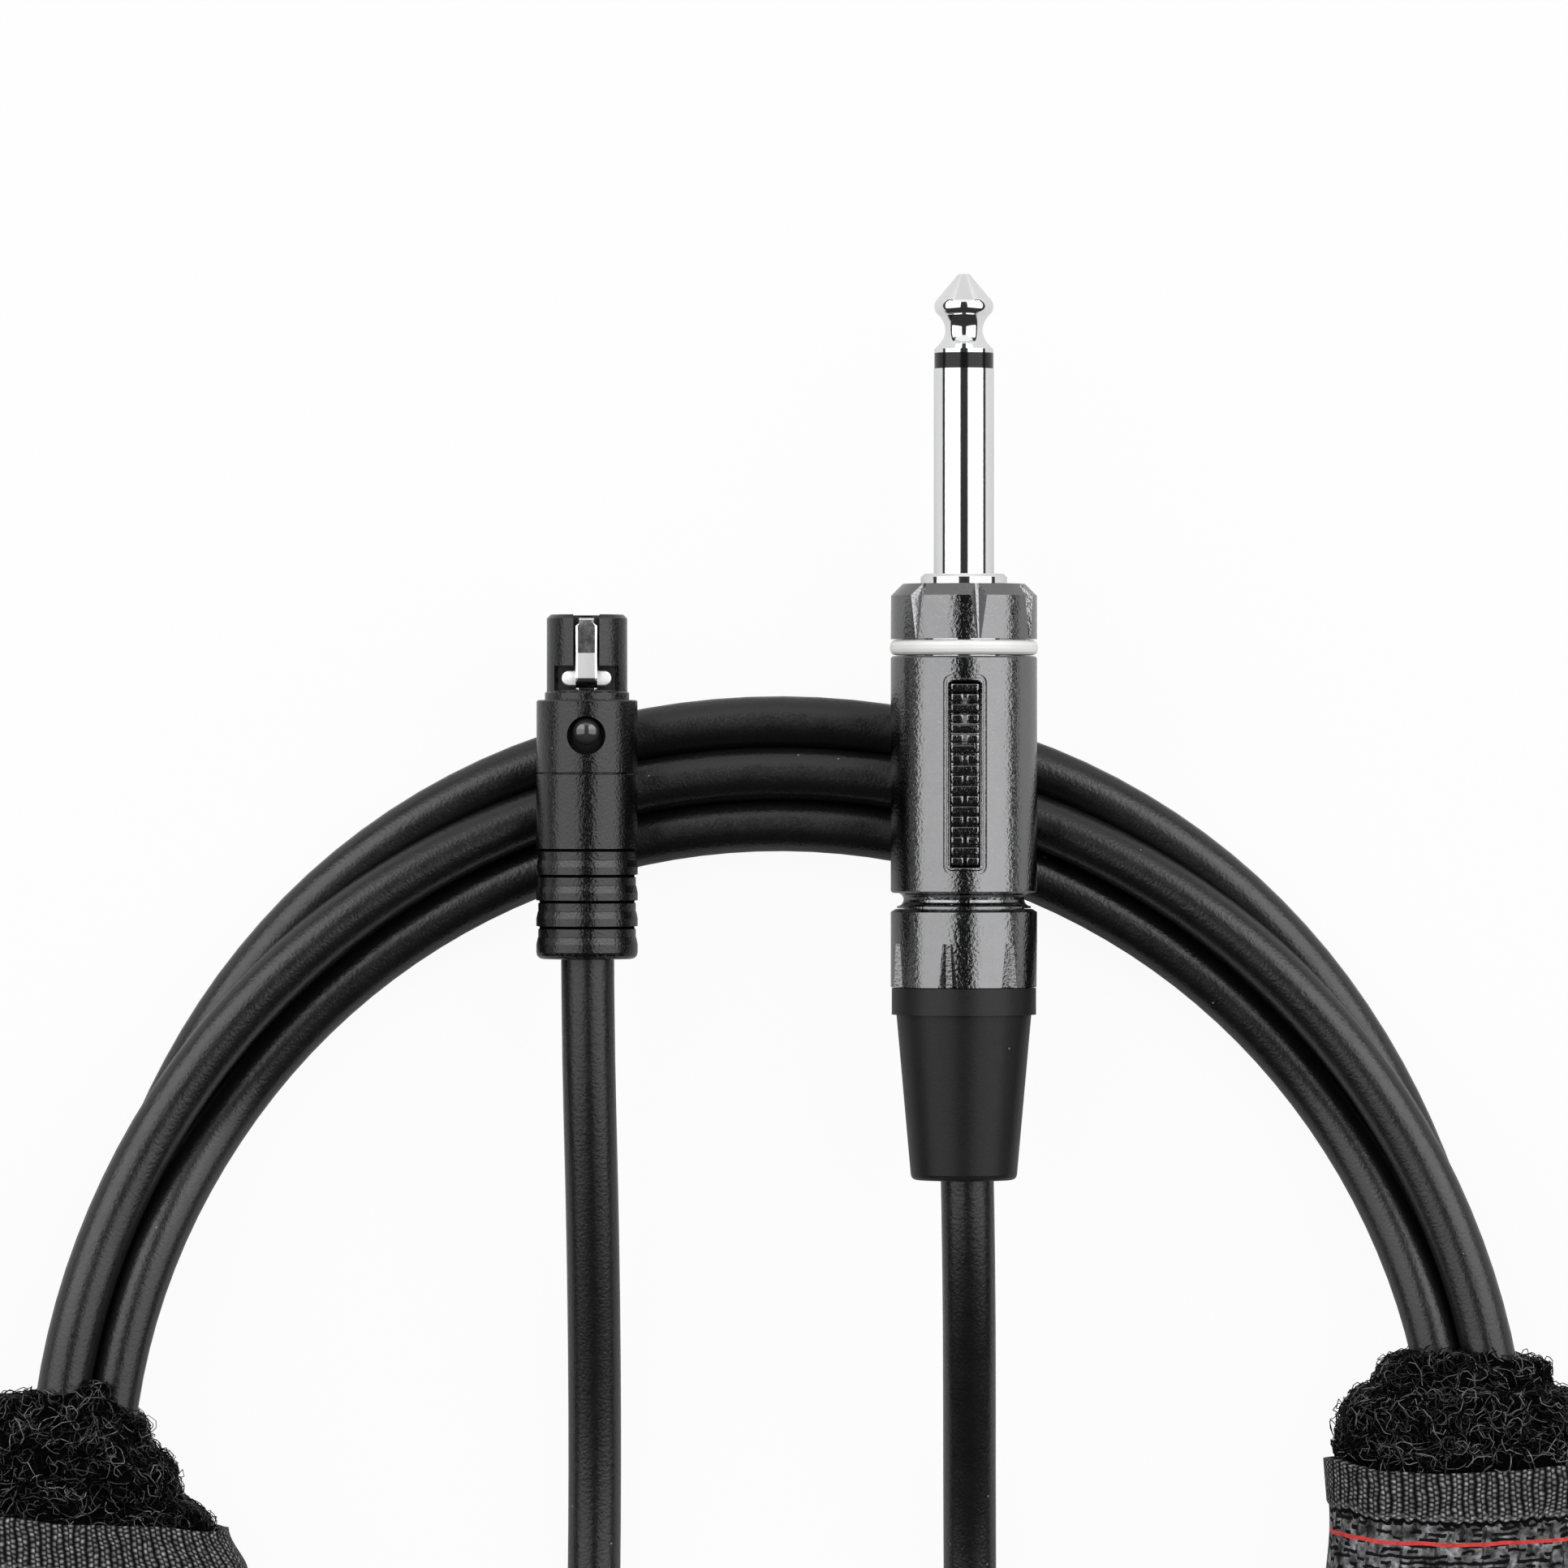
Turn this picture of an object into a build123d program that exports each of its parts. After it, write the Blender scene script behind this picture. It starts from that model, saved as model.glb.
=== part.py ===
from build123d import *
import os
from math import atan2, cos, degrees, hypot, pi, radians, sin, tan

# An instrument cable: a 6.35 mm (quarter inch) two-pole plug on one end, a four-pole
# mini-XLR socket on the other, and the cord wound in a flat coil that two
# hook-and-loop ties hold. Millimetres, +Z up, +Y the way both plugs point.
# The cable lies on the plane z = 0, under the middle of its plugs and ties.
# Distances along a plug are counted from its front end towards its cord.

# ---- Sizes of the cord and its coil ----
cord_d = 5.6
coil_r = 73.7
side_spread = 0.6
front_reach = 11.4
front_spread = -0.2
behind_reach = 8.2
behind_inner = 8.2
front_over = 1.8
tied_over = -0.2
tied_reach = 44.0
rest_gap = 0.1

# ---- Sizes of the hook-and-loop ties ----
pile_under = 1.0
pile_over = 3.2
pile_side = 7.8
lip_side = 2.9
webbing_t = 1.2
webbing_proud = 2.4
soft_gap = 0.3
right_tie = {"lip": 12.5, "pile": 9.3, "webbing": 3.4, "end": -19.0}
left_tie = {"lip": 170.3, "pile": 173.5, "webbing": 180.9, "end": 199.5}

# ---- Sizes of the 6.35 mm plug ----
shank_d = 6.35
tip_l = 8.3
tip_cone_l = 2.8
tip_nose_r = 0.6
tip_neck_r = 1.97
tip_ring_l = 1.65
tip_inset = 0.06
sleeve_l = 21.6
flange_proud = 1.375
flange_l = 1.05
body_d = 15.4
front_ring_l = 5.8
front_chamfer = 1.25
coding_l = 1.6
coding_proud = 0.08
barrel_l = 24.9
nut_side = 1.35
spigot_wall = 0.85
hub_inset = 2.5
neck_l = 1.7
neck_groove_r = 0.7
nut_l = 8.2
nut_wall = 1.2
bead_l = 1.2
collar_inset = 0.1
collar_l = 2.9
boot_step = 0.5
boot_end_d = 11.2
boot_l = 17.4
flute_count = 7
ring_flute_turn = 11.0
nut_flute_turn = 37.5
rod_d = 2.2
core_d = 3.8
hub_reach = 3.0
terminal_t = 0.5
terminal_inset = 1.1
washer_t = 0.8
liner_wall = 0.5
chuck_l = 11.0
panel_w = 4.6
panel_l = 20.9
panel_front = 2.0
panel_deep = 0.3
ts_x = 19.4
ts_exit_inside = 39.6

# ---- Sizes of the mini-XLR socket ----
nose_d = 8.5
nose_l = 8.1
nose_wall = 0.65
lip_proud = 0.2
lip_l = 0.9
shell_proud = 1.075
shell_l = 7.7
shell_wall = 0.8
handle_proud = 0.025
handle_l = 19.5
plain_l = 8.03
rib_count = 4
rib_pitch = 2.72
rib_step = 0.2
rib_cut = 0.14
seam_edge = 0.08
spigot_l = 3.2
spigot_proud = 0.35
clamp_l = 8.0
insert_l = 13.5
contact_d = 1.0
contact_spread = 1.15
contact_drop = 0.35
cup_l = 2.6
window_w = 6.8
window_l = 2.6
latch_w = 2.35
latch_t = 0.35
latch_inset = 0.15
latch_drop = 1.0
bar_w = 5.3
bar_l = 1.5
bar_t = 0.5
button_d = 3.3
button_hole_d = 4.06
button_lip = 0.17
button_travel = 0.6
xlr_x = -20.3
xlr_exit_inside = 16.4

# ---- Fits ----
seam = 0.1
fit_gap = 0.05
exit_room = 0.65
side_room = 0.2

# ---- Worked-out places: the coil ----
cord_r = cord_d / 2
side_half = cord_d + side_spread / 2
front_outer = coil_r + front_reach
front_inner = front_outer - 3 * cord_d - front_spread
behind_outer = coil_r + behind_reach
coil_crest = cord_d + front_over
tie_lift = webbing_t + pile_under + 2 * soft_gap
tied_top = tie_lift + 2 * cord_d + tied_over
pile_half = side_half + pile_side
lip_half = side_half + lip_side
webbing_half = pile_half + webbing_proud
webbing_top = tied_top + 2 * soft_gap + pile_over + webbing_t

# ---- Worked-out places: the 6.35 mm plug ----
body_r = body_d / 2
shank_r = shank_d / 2
hub_r = body_r - hub_inset
neck_r = body_r - nut_side
bore_r = neck_r - spigot_wall
ring_at = tip_l + tip_ring_l
flange_at = ring_at + sleeve_l
front_at = flange_at + flange_l
coding_at = front_at + front_ring_l + seam
barrel_at = coding_at + coding_l + seam
neck_at = barrel_at + barrel_l
nut_at = neck_at + neck_l
boot_at = nut_at + nut_l
cone_at = boot_at + collar_l
ts_length = cone_at + boot_l
spigot_end = boot_at - nut_wall - bead_l - 2 * seam
chuck_at = spigot_end - chuck_l
hub_end = barrel_at + hub_reach
terminal_r = bore_r - terminal_inset

# ---- Worked-out places: the mini-XLR socket ----
nose_r = nose_d / 2
nose_bore_r = nose_r - nose_wall
lip_r = nose_r + lip_proud
shell_r = nose_r + shell_proud
handle_r = shell_r + handle_proud
shell_bore_r = shell_r - shell_wall
spigot_r = shell_bore_r + spigot_proud
shell_at = nose_l + lip_l
handle_at = shell_at + shell_l + seam
xlr_length = handle_at + handle_l
clamp_at = handle_at + spigot_l + 2.0
insert_at = 0.3
latch_top = nose_r - latch_inset
arm_top = latch_top - latch_drop
latch_floor = arm_top - 2 * button_travel
pivot_at = 0.6
button_at = shell_at + 3.75
arm_end = button_at + 0.6

# ---- Worked-out places: the whole cable ----
tie_reach_y = (coil_r + webbing_half) * sin(radians(left_tie["end"] - 180))
ts_exit_y = coil_r - ts_exit_inside
xlr_exit_y = coil_r - xlr_exit_inside
coil_y = (tie_reach_y - ts_exit_y - ts_length) / 2
ts_z = coil_crest + body_r + rest_gap
xlr_z = coil_crest + handle_r + rest_gap
ts_place = Pos(ts_x, coil_y + ts_exit_y + ts_length, ts_z)
xlr_place = Pos(xlr_x, coil_y + xlr_exit_y + xlr_length, xlr_z)


def turned(*outline):
    """A solid turned about Y from an outline of (radius, distance behind the front)."""
    points = [(radius, -behind) for radius, behind in outline]
    return revolve(make_face(Polyline(*points, close=True)), Axis.Y)


def rod(radius, front, back):
    return turned((0, front), (radius, front), (radius, back), (0, back))


def tube(outer, inner, front, back):
    return turned((inner, front), (outer, front), (outer, back), (inner, back))


def eased(radius, behind, size, way):
    """Points that ease a turned edge round. way is 1 from a front face, -1 towards a back face."""
    steps = [radians(30 * number) for number in range(4)]
    points = [(radius - size * (1 - sin(a)), behind + way * size * (1 - cos(a))) for a in steps]
    return points if way == 1 else points[::-1]


def block(width, front, back, low, high):
    """A box across the axis: its width along X, its place along the axis and its heights."""
    return Pos(0, -(front + back) / 2, (low + high) / 2) * Box(width, back - front, high - low)


def wire(radius, start, stop):
    """A round wire between two points given as (x, distance behind the front, z)."""
    first = Vector(start[0], -start[1], start[2])
    last = Vector(stop[0], -stop[1], stop[2])
    return extrude(Plane(first, z_dir=last - first) * Circle(radius), (last - first).length)


def notch(radius, behind, width, deep, floor):
    """A flute's section on a plane across the axis: sloped sides and a narrow floor."""
    over = 1.0
    top, low = radius + over, radius - deep
    half = floor / 2 + (width - floor) / 2 * (deep + over) / deep
    across = Plane(origin=(0, -behind, 0), x_dir=(1, 0, 0), z_dir=(0, -1, 0))
    outline = Polyline((-floor / 2, low), (floor / 2, low), (half, top), (-half, top), close=True)
    return across * make_face(outline)


def fluted(solid, radius, first_turn, front, back):
    """Cuts the tapered flutes. front and back are (distance, width, depth, width of the floor)."""
    cutter = loft([notch(radius, *front), notch(radius, *back)])
    for number in range(flute_count):
        turn = first_turn + number * 360 / flute_count
        solid -= Rot(0, turn, 0) * cutter
    return solid


# ---- The 6.35 mm plug ----

def tip():
    """The tip: a cone, a rounded shoulder, a waist for the jack's spring and a rod behind."""
    top = shank_r - tip_inset
    shoulder = (top - 0.17, -tip_cone_l)
    waist_start = (top - 0.5, -(tip_cone_l + 1.55))
    waist_end = (top, -(tip_l - 0.4))
    rod_end = hub_end + 2 * terminal_t + washer_t + 0.6
    outline = [
        Polyline((0, 0), (tip_nose_r, 0), shoulder),
        ThreePointArc(shoulder, (top, -(tip_cone_l + 0.65)), waist_start),
        Spline(waist_start, (tip_neck_r, -(tip_cone_l + 2.9)), waist_end),
        Polyline(waist_end, (top, -tip_l), (rod_d / 2, -tip_l), (rod_d / 2, -rod_end)),
        Polyline((rod_d / 2, -rod_end), (0, -rod_end), (0, 0)),
    ]
    return revolve(make_face(outline), Axis.Y)


def tip_insulator():
    """The black ring behind the tip, with the tube that insulates the rod in the sleeve."""
    ring_r = shank_r - tip_inset
    bore = rod_d / 2 + fit_gap
    tube_r = core_d / 2
    ring = [(bore, tip_l), (ring_r, tip_l), (ring_r, ring_at)]
    return turned(*ring, (tube_r, ring_at), (tube_r, hub_end), (bore, hub_end))


def sleeve():
    """The sleeve contact, with its flange and the hub that carries the rings and the barrel."""
    bore = core_d / 2 + fit_gap
    flange_r = shank_r + flange_proud
    edge = 0.35
    return turned(
        (bore, ring_at),
        (shank_r, ring_at),
        (shank_r, flange_at),
        (flange_r - edge, flange_at),
        (flange_r, flange_at + edge),
        (flange_r, front_at),
        (hub_r, front_at),
        (hub_r, hub_end),
        (bore, hub_end),
    )


def front_ring():
    """The chamfered front ring with its flutes, deepest at the chamfer."""
    bore = hub_r + fit_gap
    back = front_at + front_ring_l
    ring = turned(
        (bore, front_at),
        (body_r - front_chamfer, front_at),
        (body_r, front_at + front_chamfer),
        (body_r, back),
        (bore, back),
    )
    start = (front_at - 0.3, 2.3, 1.3, 0.4)
    return fluted(ring, body_r, ring_flute_turn, start, (back + 0.3, 0.35, 0.2, 0.1))


def coding_ring():
    """The plastic ring between the front ring and the barrel, with its edges eased."""
    outer = body_r + coding_proud
    bore = hub_r + fit_gap
    back = coding_at + coding_l
    front_edge = eased(outer, coding_at, 0.6, 1)
    back_edge = eased(outer, back, 0.6, -1)
    return turned((bore, coding_at), *front_edge, *back_edge, (bore, back))


def panel_cut():
    """The shallow recess of the barrel's panel, whose floor is as round as the barrel."""
    middle = barrel_at + panel_front + panel_l / 2
    outline = extrude(Pos(0, -middle, 0) * RectangleRounded(panel_w, panel_l, 0.9), body_r + 1)
    return outline & tube(body_r + 1, body_r - panel_deep, barrel_at, neck_at)


def neck_groove():
    """Points round the groove behind the barrel: straight down one side, round, and up the other."""
    sides = neck_r + neck_groove_r
    middle = neck_at + neck_groove_r
    turns = [radians(180 * number / 8) for number in range(9)]
    return [(sides - neck_groove_r * sin(a), middle - neck_groove_r * cos(a)) for a in turns]


def barrel():
    """The barrel, with a round groove behind it and a spigot that takes the nut."""
    collar_end = barrel_at + hub_reach
    edge = 0.2
    body = turned(
        (hub_r + fit_gap, barrel_at),
        (body_r - edge, barrel_at),
        (body_r, barrel_at + edge),
        (body_r, neck_at - edge),
        (body_r - edge, neck_at),
        *neck_groove(),
        (neck_r + neck_groove_r, nut_at - seam),
        (neck_r, nut_at - seam),
        (neck_r, spigot_end),
        (bore_r, spigot_end),
        (bore_r, collar_end),
        (hub_r + fit_gap, collar_end),
    )
    return body - panel_cut()


def rear_nut():
    """The nut that screws on the spigot and squeezes the chuck, with flutes open to the rear."""
    bore = neck_r + fit_gap
    mouth = bore_r + 0.1 + fit_gap
    back = boot_at
    nut = turned(
        (bore, nut_at),
        (body_r - 0.5, nut_at),
        (body_r, nut_at + 0.3),
        (body_r, back),
        (mouth, back),
        (mouth, back - nut_wall),
        (bore, back - nut_wall),
    )
    start = (nut_at + 3.6, 1.1, 0.35, 0.5)
    return fluted(nut, body_r, nut_flute_turn, start, (back + 0.2, 2.2, 0.9, 0.7))


def boot():
    """The rubber boot: a collar against the nut, a long cone, and a bead held in the nut."""
    bore = cord_r + exit_room
    stem = bore_r + 0.1
    bead_at = boot_at - nut_wall - seam - bead_l
    collar_r = body_r - collar_inset
    return turned(
        (bore, bead_at),
        (stem + 0.3, bead_at),
        (stem + 0.3, bead_at + bead_l),
        (stem, bead_at + bead_l),
        (stem, boot_at + seam),
        (collar_r, boot_at + seam),
        (collar_r, cone_at),
        (collar_r - boot_step, cone_at),
        *eased(boot_end_d / 2, ts_length, 0.6, -1),
        (bore, ts_length),
    )


def liner():
    """The insulating tube that keeps the terminals off the barrel."""
    outer = bore_r - fit_gap
    return tube(outer, outer - liner_wall, hub_end + 0.2, chuck_at - 0.2)


def chuck():
    """The clamping chuck: four jaws round the cord, split from the rear."""
    outer = bore_r - fit_gap
    body = turned(
        (cord_r + fit_gap, chuck_at),
        (outer, chuck_at),
        (outer, spigot_end - 3.0),
        (outer - 0.9, spigot_end),
        (cord_r + fit_gap, spigot_end),
    )
    slot = block(0.8, chuck_at + 3.0, spigot_end + 1, -outer, outer)
    return body - slot - Rot(0, 90, 0) * slot


def ground_terminal():
    """The sleeve's terminal: a washer on the hub and a strip back to the cord's shield."""
    washer = tube(terminal_r, core_d / 2 + fit_gap, hub_end, hub_end + terminal_t)
    strip = block(3.0, hub_end, chuck_at - 1.0, -terminal_r, terminal_t - terminal_r)
    return washer + strip


def terminal_washer():
    """The washer that insulates the two terminals from each other."""
    front = hub_end + terminal_t
    return tube(terminal_r - terminal_t - 0.3, rod_d / 2 + fit_gap, front, front + washer_t)


def tip_terminal():
    """The tip's terminal: a washer on the rod and a solder tab with an eye."""
    front = hub_end + terminal_t + washer_t
    washer = tube(2.4, rod_d / 2 + fit_gap, front, front + terminal_t)
    tab = block(1.8, front, front + 7.0, 1.6, 1.6 + terminal_t)
    eye = Pos(0, -(front + 5.6), 0) * Cylinder(0.45, 8)
    return washer + (tab - eye)


def hot_wire():
    """The stripped centre conductor, from the cord's end to the eye of the tip's terminal."""
    tab_end = hub_end + terminal_t + washer_t + 7.0
    return wire(0.7, (0, chuck_at, 0), (0, tab_end - 3.0, 0.88))


def shield_tail():
    """The twisted shield, from the cord's end to the ground terminal's strip."""
    radius = 0.6
    start = (0, chuck_at, 1.1 - cord_r)
    return wire(radius, start, (0, chuck_at - 5.0, terminal_t - terminal_r + radius))


# ---- The mini-XLR socket ----

def nose():
    """The nose: a thin sleeve with a channel for the latch and a window for its cross-bar.
    It is turned round so that the seam of its wall lies in the channel."""
    back = shell_at + 1.5
    edge = 0.4
    body = turned(
        (nose_bore_r, 0),
        (nose_r - edge, 0),
        (nose_r, edge),
        (nose_r, nose_l),
        (lip_r, nose_l + 0.15),
        (lip_r, back),
        (nose_bore_r, back),
    )
    body = Rot(0, -90, 0) * body
    channel = block(latch_w + 2 * side_room, -1, nose_l - 0.4, latch_floor, nose_r + 1)
    window = block(window_w, nose_l - 0.1 - window_l, nose_l - 0.1, latch_floor, nose_r + 1)
    return body - channel - window


def insert():
    """The moulded insert that carries the contacts, with a well on top for the latch."""
    outer = nose_bore_r - fit_gap
    front = insert_at
    back = front + insert_l
    body = rod(outer, front, back)
    well = block(window_w, nose_l - 0.3 - window_l, back + 1, latch_floor, outer + 1)
    slot = block(latch_w + 2 * side_room, front - 1, nose_l, latch_floor, outer + 1)
    body = body - well - slot
    for x, z in contact_places():
        hole = rod(contact_d / 2 + fit_gap, front - 1, back + 1)
        body -= Pos(x, 0, z) * hole
    return body


def contact_places():
    """The contacts' places across the insert, set down a little to clear the latch."""
    spread = (-contact_spread, contact_spread)
    return [(x, z - contact_drop) for x in spread for z in spread]


def contacts():
    """Four tubular contacts with solder cups behind the insert."""
    radius = contact_d / 2
    front = insert_at + 0.3
    back = insert_at + insert_l + cup_l
    depth = front + 7
    shape = turned(
        (0, depth),
        (radius - 0.2, depth),
        (radius - 0.2, front),
        (radius, front),
        (radius, back),
        (0, back),
    )
    return [Pos(x, 0, z) * shape for x, z in contact_places()]


def latch():
    """The latch: a hooked strip, its cross-bar in the window, and an arm under the button."""
    front = pivot_at - 0.25
    bend_at = nose_l - 0.9
    foot_at = nose_l + 0.1
    low = arm_top - latch_t
    side = [
        (-front, latch_top - 0.6),
        (-front - 0.8, latch_top),
        (-bend_at, latch_top),
        (-foot_at, arm_top),
        (-arm_end, arm_top),
        (-arm_end, low),
        (-foot_at + 0.15, low),
        (-bend_at + 0.2, latch_top - latch_t),
        (-front - 0.95, latch_top - latch_t),
        (-front, latch_top - 0.6 - latch_t),
    ]
    half = latch_w / 2
    narrow = 0.72 * half
    right = [(narrow, -front), (half, -front - 0.8), (half, -foot_at)]
    right += [(narrow, -foot_at - 0.3), (narrow, -arm_end)]
    left = [(-x, y) for x, y in reversed(right)]
    plan = extrude(make_face(Polyline(*right, *left, close=True)), nose_r)
    strip = extrude(Plane.YZ * make_face(Polyline(*side, close=True)), half, both=True) & plan
    bar_middle = foot_at - bar_l
    bar = Pos(0, -bar_middle, arm_top + 0.05) * extrude(SlotOverall(bar_w, bar_l), bar_t / 2, both=True)
    riser = block(1.2, bar_middle - 0.5, bar_middle + 0.5, arm_top + 0.2, latch_top - latch_t + 0.1)
    return strip + bar + riser


def button():
    """The domed release button, with a lip under the shell and a stem over the latch."""
    radius = button_d / 2
    top = shell_r - 0.15
    lip = button_hole_d / 2 + button_lip
    lip_low, lip_high = arm_top + 0.3, arm_top + 0.65
    stem_low = arm_top + 0.1
    turns = [0.24 * number for number in range(7)]
    dome = [(radius * cos(a), top - 0.75 * radius * (1 - sin(a))) for a in turns]
    outline = [(0, stem_low), (0.5, stem_low), (0.5, lip_low), (lip, lip_low)]
    outline += [(lip, lip_high), (radius, lip_high)]
    face = Plane.XZ * make_face(Polyline(*outline, *dome, (0, top), close=True))
    return Pos(0, -button_at, 0) * revolve(face, Axis.Z)


def body_shell():
    """The body shell, with the button's hole on top and a spigot for the handle behind."""
    back = handle_at - seam
    inner = spigot_r - shell_wall + 0.05
    edge = 0.15
    body = turned(
        (lip_r + fit_gap, shell_at),
        (shell_r - edge, shell_at),
        (shell_r, shell_at + edge),
        (shell_r, back - seam_edge),
        (shell_r - seam_edge, back),
        (spigot_r, back),
        (spigot_r, handle_at + spigot_l),
        (inner, handle_at + spigot_l),
        (inner, back - 1.0),
        (shell_bore_r, back - 1.0),
        (shell_bore_r, shell_at + 1.4),
        (lip_r + fit_gap, shell_at + 1.4),
    )
    hole = Pos(0, -button_at, shell_r) * Cylinder(button_hole_d / 2, 2 * shell_r - 2)
    return body - hole


def handle():
    """The handle: plain in front, then ribs that start at a cut, run low and swell again."""
    bore = spigot_r + fit_gap
    rear_bore = cord_r + exit_room
    low = handle_r - rib_step
    start = handle_at + plain_l
    points = [(bore, handle_at), (handle_r - seam_edge, handle_at), (handle_r, handle_at + seam_edge)]
    for number in range(rib_count):
        rib = start + number * rib_pitch
        points += [(handle_r, rib - 0.17), (low - rib_cut, rib - 0.1), (low - rib_cut, rib + 0.08)]
        points += [(low, rib + 0.15), (low, rib + 1.0), (low + 0.05, rib + 1.04), (handle_r, rib + 1.75)]
    step_at = clamp_at + clamp_l + seam
    points += eased(handle_r, xlr_length, 0.7, -1)
    points += [(rear_bore, xlr_length), (rear_bore, step_at), (bore, step_at)]
    return turned(*points)


def cord_clamp():
    """The split clamp that grips the cord inside the handle."""
    ring = tube(spigot_r, cord_r + fit_gap, clamp_at, clamp_at + clamp_l)
    return ring - block(0.8, clamp_at - 1, clamp_at + clamp_l + 1, 0, spigot_r + 1)


def contact_wires():
    """Four insulated wires from the cord's end to the solder cups."""
    start = clamp_at - 1.5
    stop = insert_at + insert_l + cup_l
    return [wire(0.4, (x * 0.6, start, z * 0.6), (x, stop, z)) for x, z in contact_places()]


# ---- The cord ----

drawn_coil_r = 73.7
crossing_z = 2 * cord_d - 2.0

socket_lead = [
    (-19.7, 27.0, 8.6),
    (-19.6, 2.0, cord_r),
    (-19.9, -21.0, cord_r),
    (-19.7, -42.0, cord_r),
    (-12.5, -55.8, cord_r),
    (0.3, -64.8, cord_r),
    (15.8, -66.9, cord_r),
    (30.5, -61.6, cord_r),
]

plug_lead = [
    (-32.7, -70.05, crossing_z),
    (-17.1, -75.3, crossing_z),
    (-0.9, -73.0, crossing_z),
    (12.6, -63.4, crossing_z - 0.3),
    (20.1, -48.7, crossing_z - 3.2),
    (20.4, -28.0, cord_r),
    (20.2, -5.0, cord_r),
    (20.0, 25.0, 14.7),
]


def from_coil(points):
    """Points drawn from the coil's middle, set in the cable's own frame at the coil's own size."""
    return [Vector(x, coil_y + y * coil_r / drawn_coil_r, z) for x, y, z in points]


def socket_route():
    """The socket's lead, from the clamp out of the handle, down and round into the coil."""
    front = coil_y + xlr_exit_y + xlr_length
    inside = Vector(xlr_x, front - clamp_at + 1.5, xlr_z)
    outside = Vector(xlr_x, front - xlr_length - 5.3, xlr_z)
    return [inside, outside] + from_coil(socket_lead)


def plug_route():
    """The plug's lead, off the coil's last turn, over the others, along and up into the boot."""
    front = coil_y + ts_exit_y + ts_length
    in_boot = Vector(ts_x, front - ts_length + 14.9, ts_z)
    inside = Vector(ts_x, front - chuck_at, ts_z)
    return from_coil(plug_lead) + [in_boot, inside]


def lead(places):
    """A round cord along straight runs joined by arcs as large as the runs allow."""
    runs = [after - before for before, after in zip(places, places[1:])]
    radii = []
    for before, after in zip(runs, runs[1:]):
        turn = before.get_angle(after)
        radii.append(0.45 * min(before.length, after.length) / tan(radians(turn) / 2))
    path = FilletPolyline(*places, radius=radii)
    start = Plane(places[0], z_dir=runs[0])
    solid = sweep(start * Circle(cord_r), path=path)
    section = pi * cord_r * cord_r
    print("lead radii", [round(r, 1) for r in radii], "runs", [round(r.length, 1) for r in runs])
    print("lead length", round(path.length, 1), "volume over section", round(solid.volume / section, 1))
    return solid


def tie_band(start, stop, plan, low, high):
    """Turns a section at the tie's radius about the coil's middle, between two angles."""
    first, last = min(start, stop), max(start, stop)
    section = Plane.XZ * Pos(coil_r, (low + high) / 2) * plan
    swept = revolve(section, Axis.Z, revolution_arc=last - first)
    return Pos(0, coil_y, 0) * Rot(0, 0, first) * swept


def coil_plan():
    """The ring that the turns fill, seen from above: wider in front, where they lie side by side."""
    behind_inside = coil_r - behind_inner
    outer = Ellipse(coil_r + side_half, (front_outer + behind_outer) / 2)
    inner = Ellipse(coil_r - side_half, (front_inner + behind_inside) / 2)
    outer = Pos(0, (front_outer - behind_outer) / 2) * outer
    return outer - Pos(0, (front_inner - behind_inside) / 2) * inner


def coil_heights():
    """The coil's side view: low behind, high where the ties squeeze it, and at the crest in front."""
    low = cord_d + 0.2
    behind, ahead = -1.2 * behind_outer, 1.2 * front_outer
    outline = [
        (behind, 0),
        (behind, low),
        (-tied_reach - 14, low),
        (-tied_reach + 14, tied_top),
        (tied_reach - 26, tied_top),
        (tied_reach + 14, coil_crest),
        (ahead, coil_crest),
        (ahead, 0),
    ]
    return extrude(Plane.YZ * make_face(Polyline(*outline, close=True)), 1.2 * coil_r, both=True)


def last_turn():
    """The stretch of the last turn that rides on the others, up to where its lead begins."""
    low, high = cord_d, crossing_z + cord_r
    off = from_coil(plug_lead)[0] - Vector(0, coil_y, 0)
    stop = degrees(atan2(off.Y, off.X))
    length = 50
    section = Plane.XZ * Pos(hypot(off.X, off.Y), (low + high) / 2) * Rectangle(cord_d, high - low)
    return Rot(0, 0, stop - length) * revolve(section, Axis.Z, revolution_arc=length)


def coil():
    """The coil's outer shape, with room under it where the ties pass."""
    shape = (extrude(coil_plan(), tied_top) & coil_heights()) + last_turn()
    shape = Pos(0, coil_y, 0) * shape
    for tie in (left_tie, right_tie):
        shape -= tie_band(tie["lip"], tie["end"], Rectangle(2 * webbing_half, tie_lift + 1), -1, tie_lift)
    return shape


def cut_cornered(width, height, corner):
    """A rectangle with its corners cut, as the outline of a soft band."""
    return chamfer(Rectangle(width, height).vertices(), corner)


def tie_pile(tie):
    """The fuzzy strip: a narrow lip in front and the thick roll behind it."""
    low = webbing_t + soft_gap
    inside_low = low + pile_under
    inside_high = tied_top + soft_gap
    high = inside_high + pile_over
    lip_top = inside_high + 0.45 * pile_over
    middle = (low + high) / 2
    inside = Rectangle(2 * (side_half + soft_gap + 0.4), inside_high - inside_low)
    hole = Pos(0, (inside_low + inside_high) / 2 - middle) * inside
    lip = Pos(0, (lip_top + low) / 2 - middle) * cut_cornered(2 * lip_half, lip_top - low, 1.0) - hole
    roll = cut_cornered(2 * pile_half, high - low, 3.5) - hole
    in_front = tie_band(tie["lip"], tie["pile"], lip, low, high)
    return in_front + tie_band(tie["pile"], tie["end"], roll, low, high)


def tie_webbing(tie):
    """The woven strip wrapped over the pile."""
    hole = cut_cornered(2 * (pile_half + soft_gap), webbing_top - 2 * webbing_t, 3.6)
    band = cut_cornered(2 * webbing_half, webbing_top, 4.6) - hole
    return tie_band(tie["webbing"], tie["end"], band, 0, webbing_top)


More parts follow.
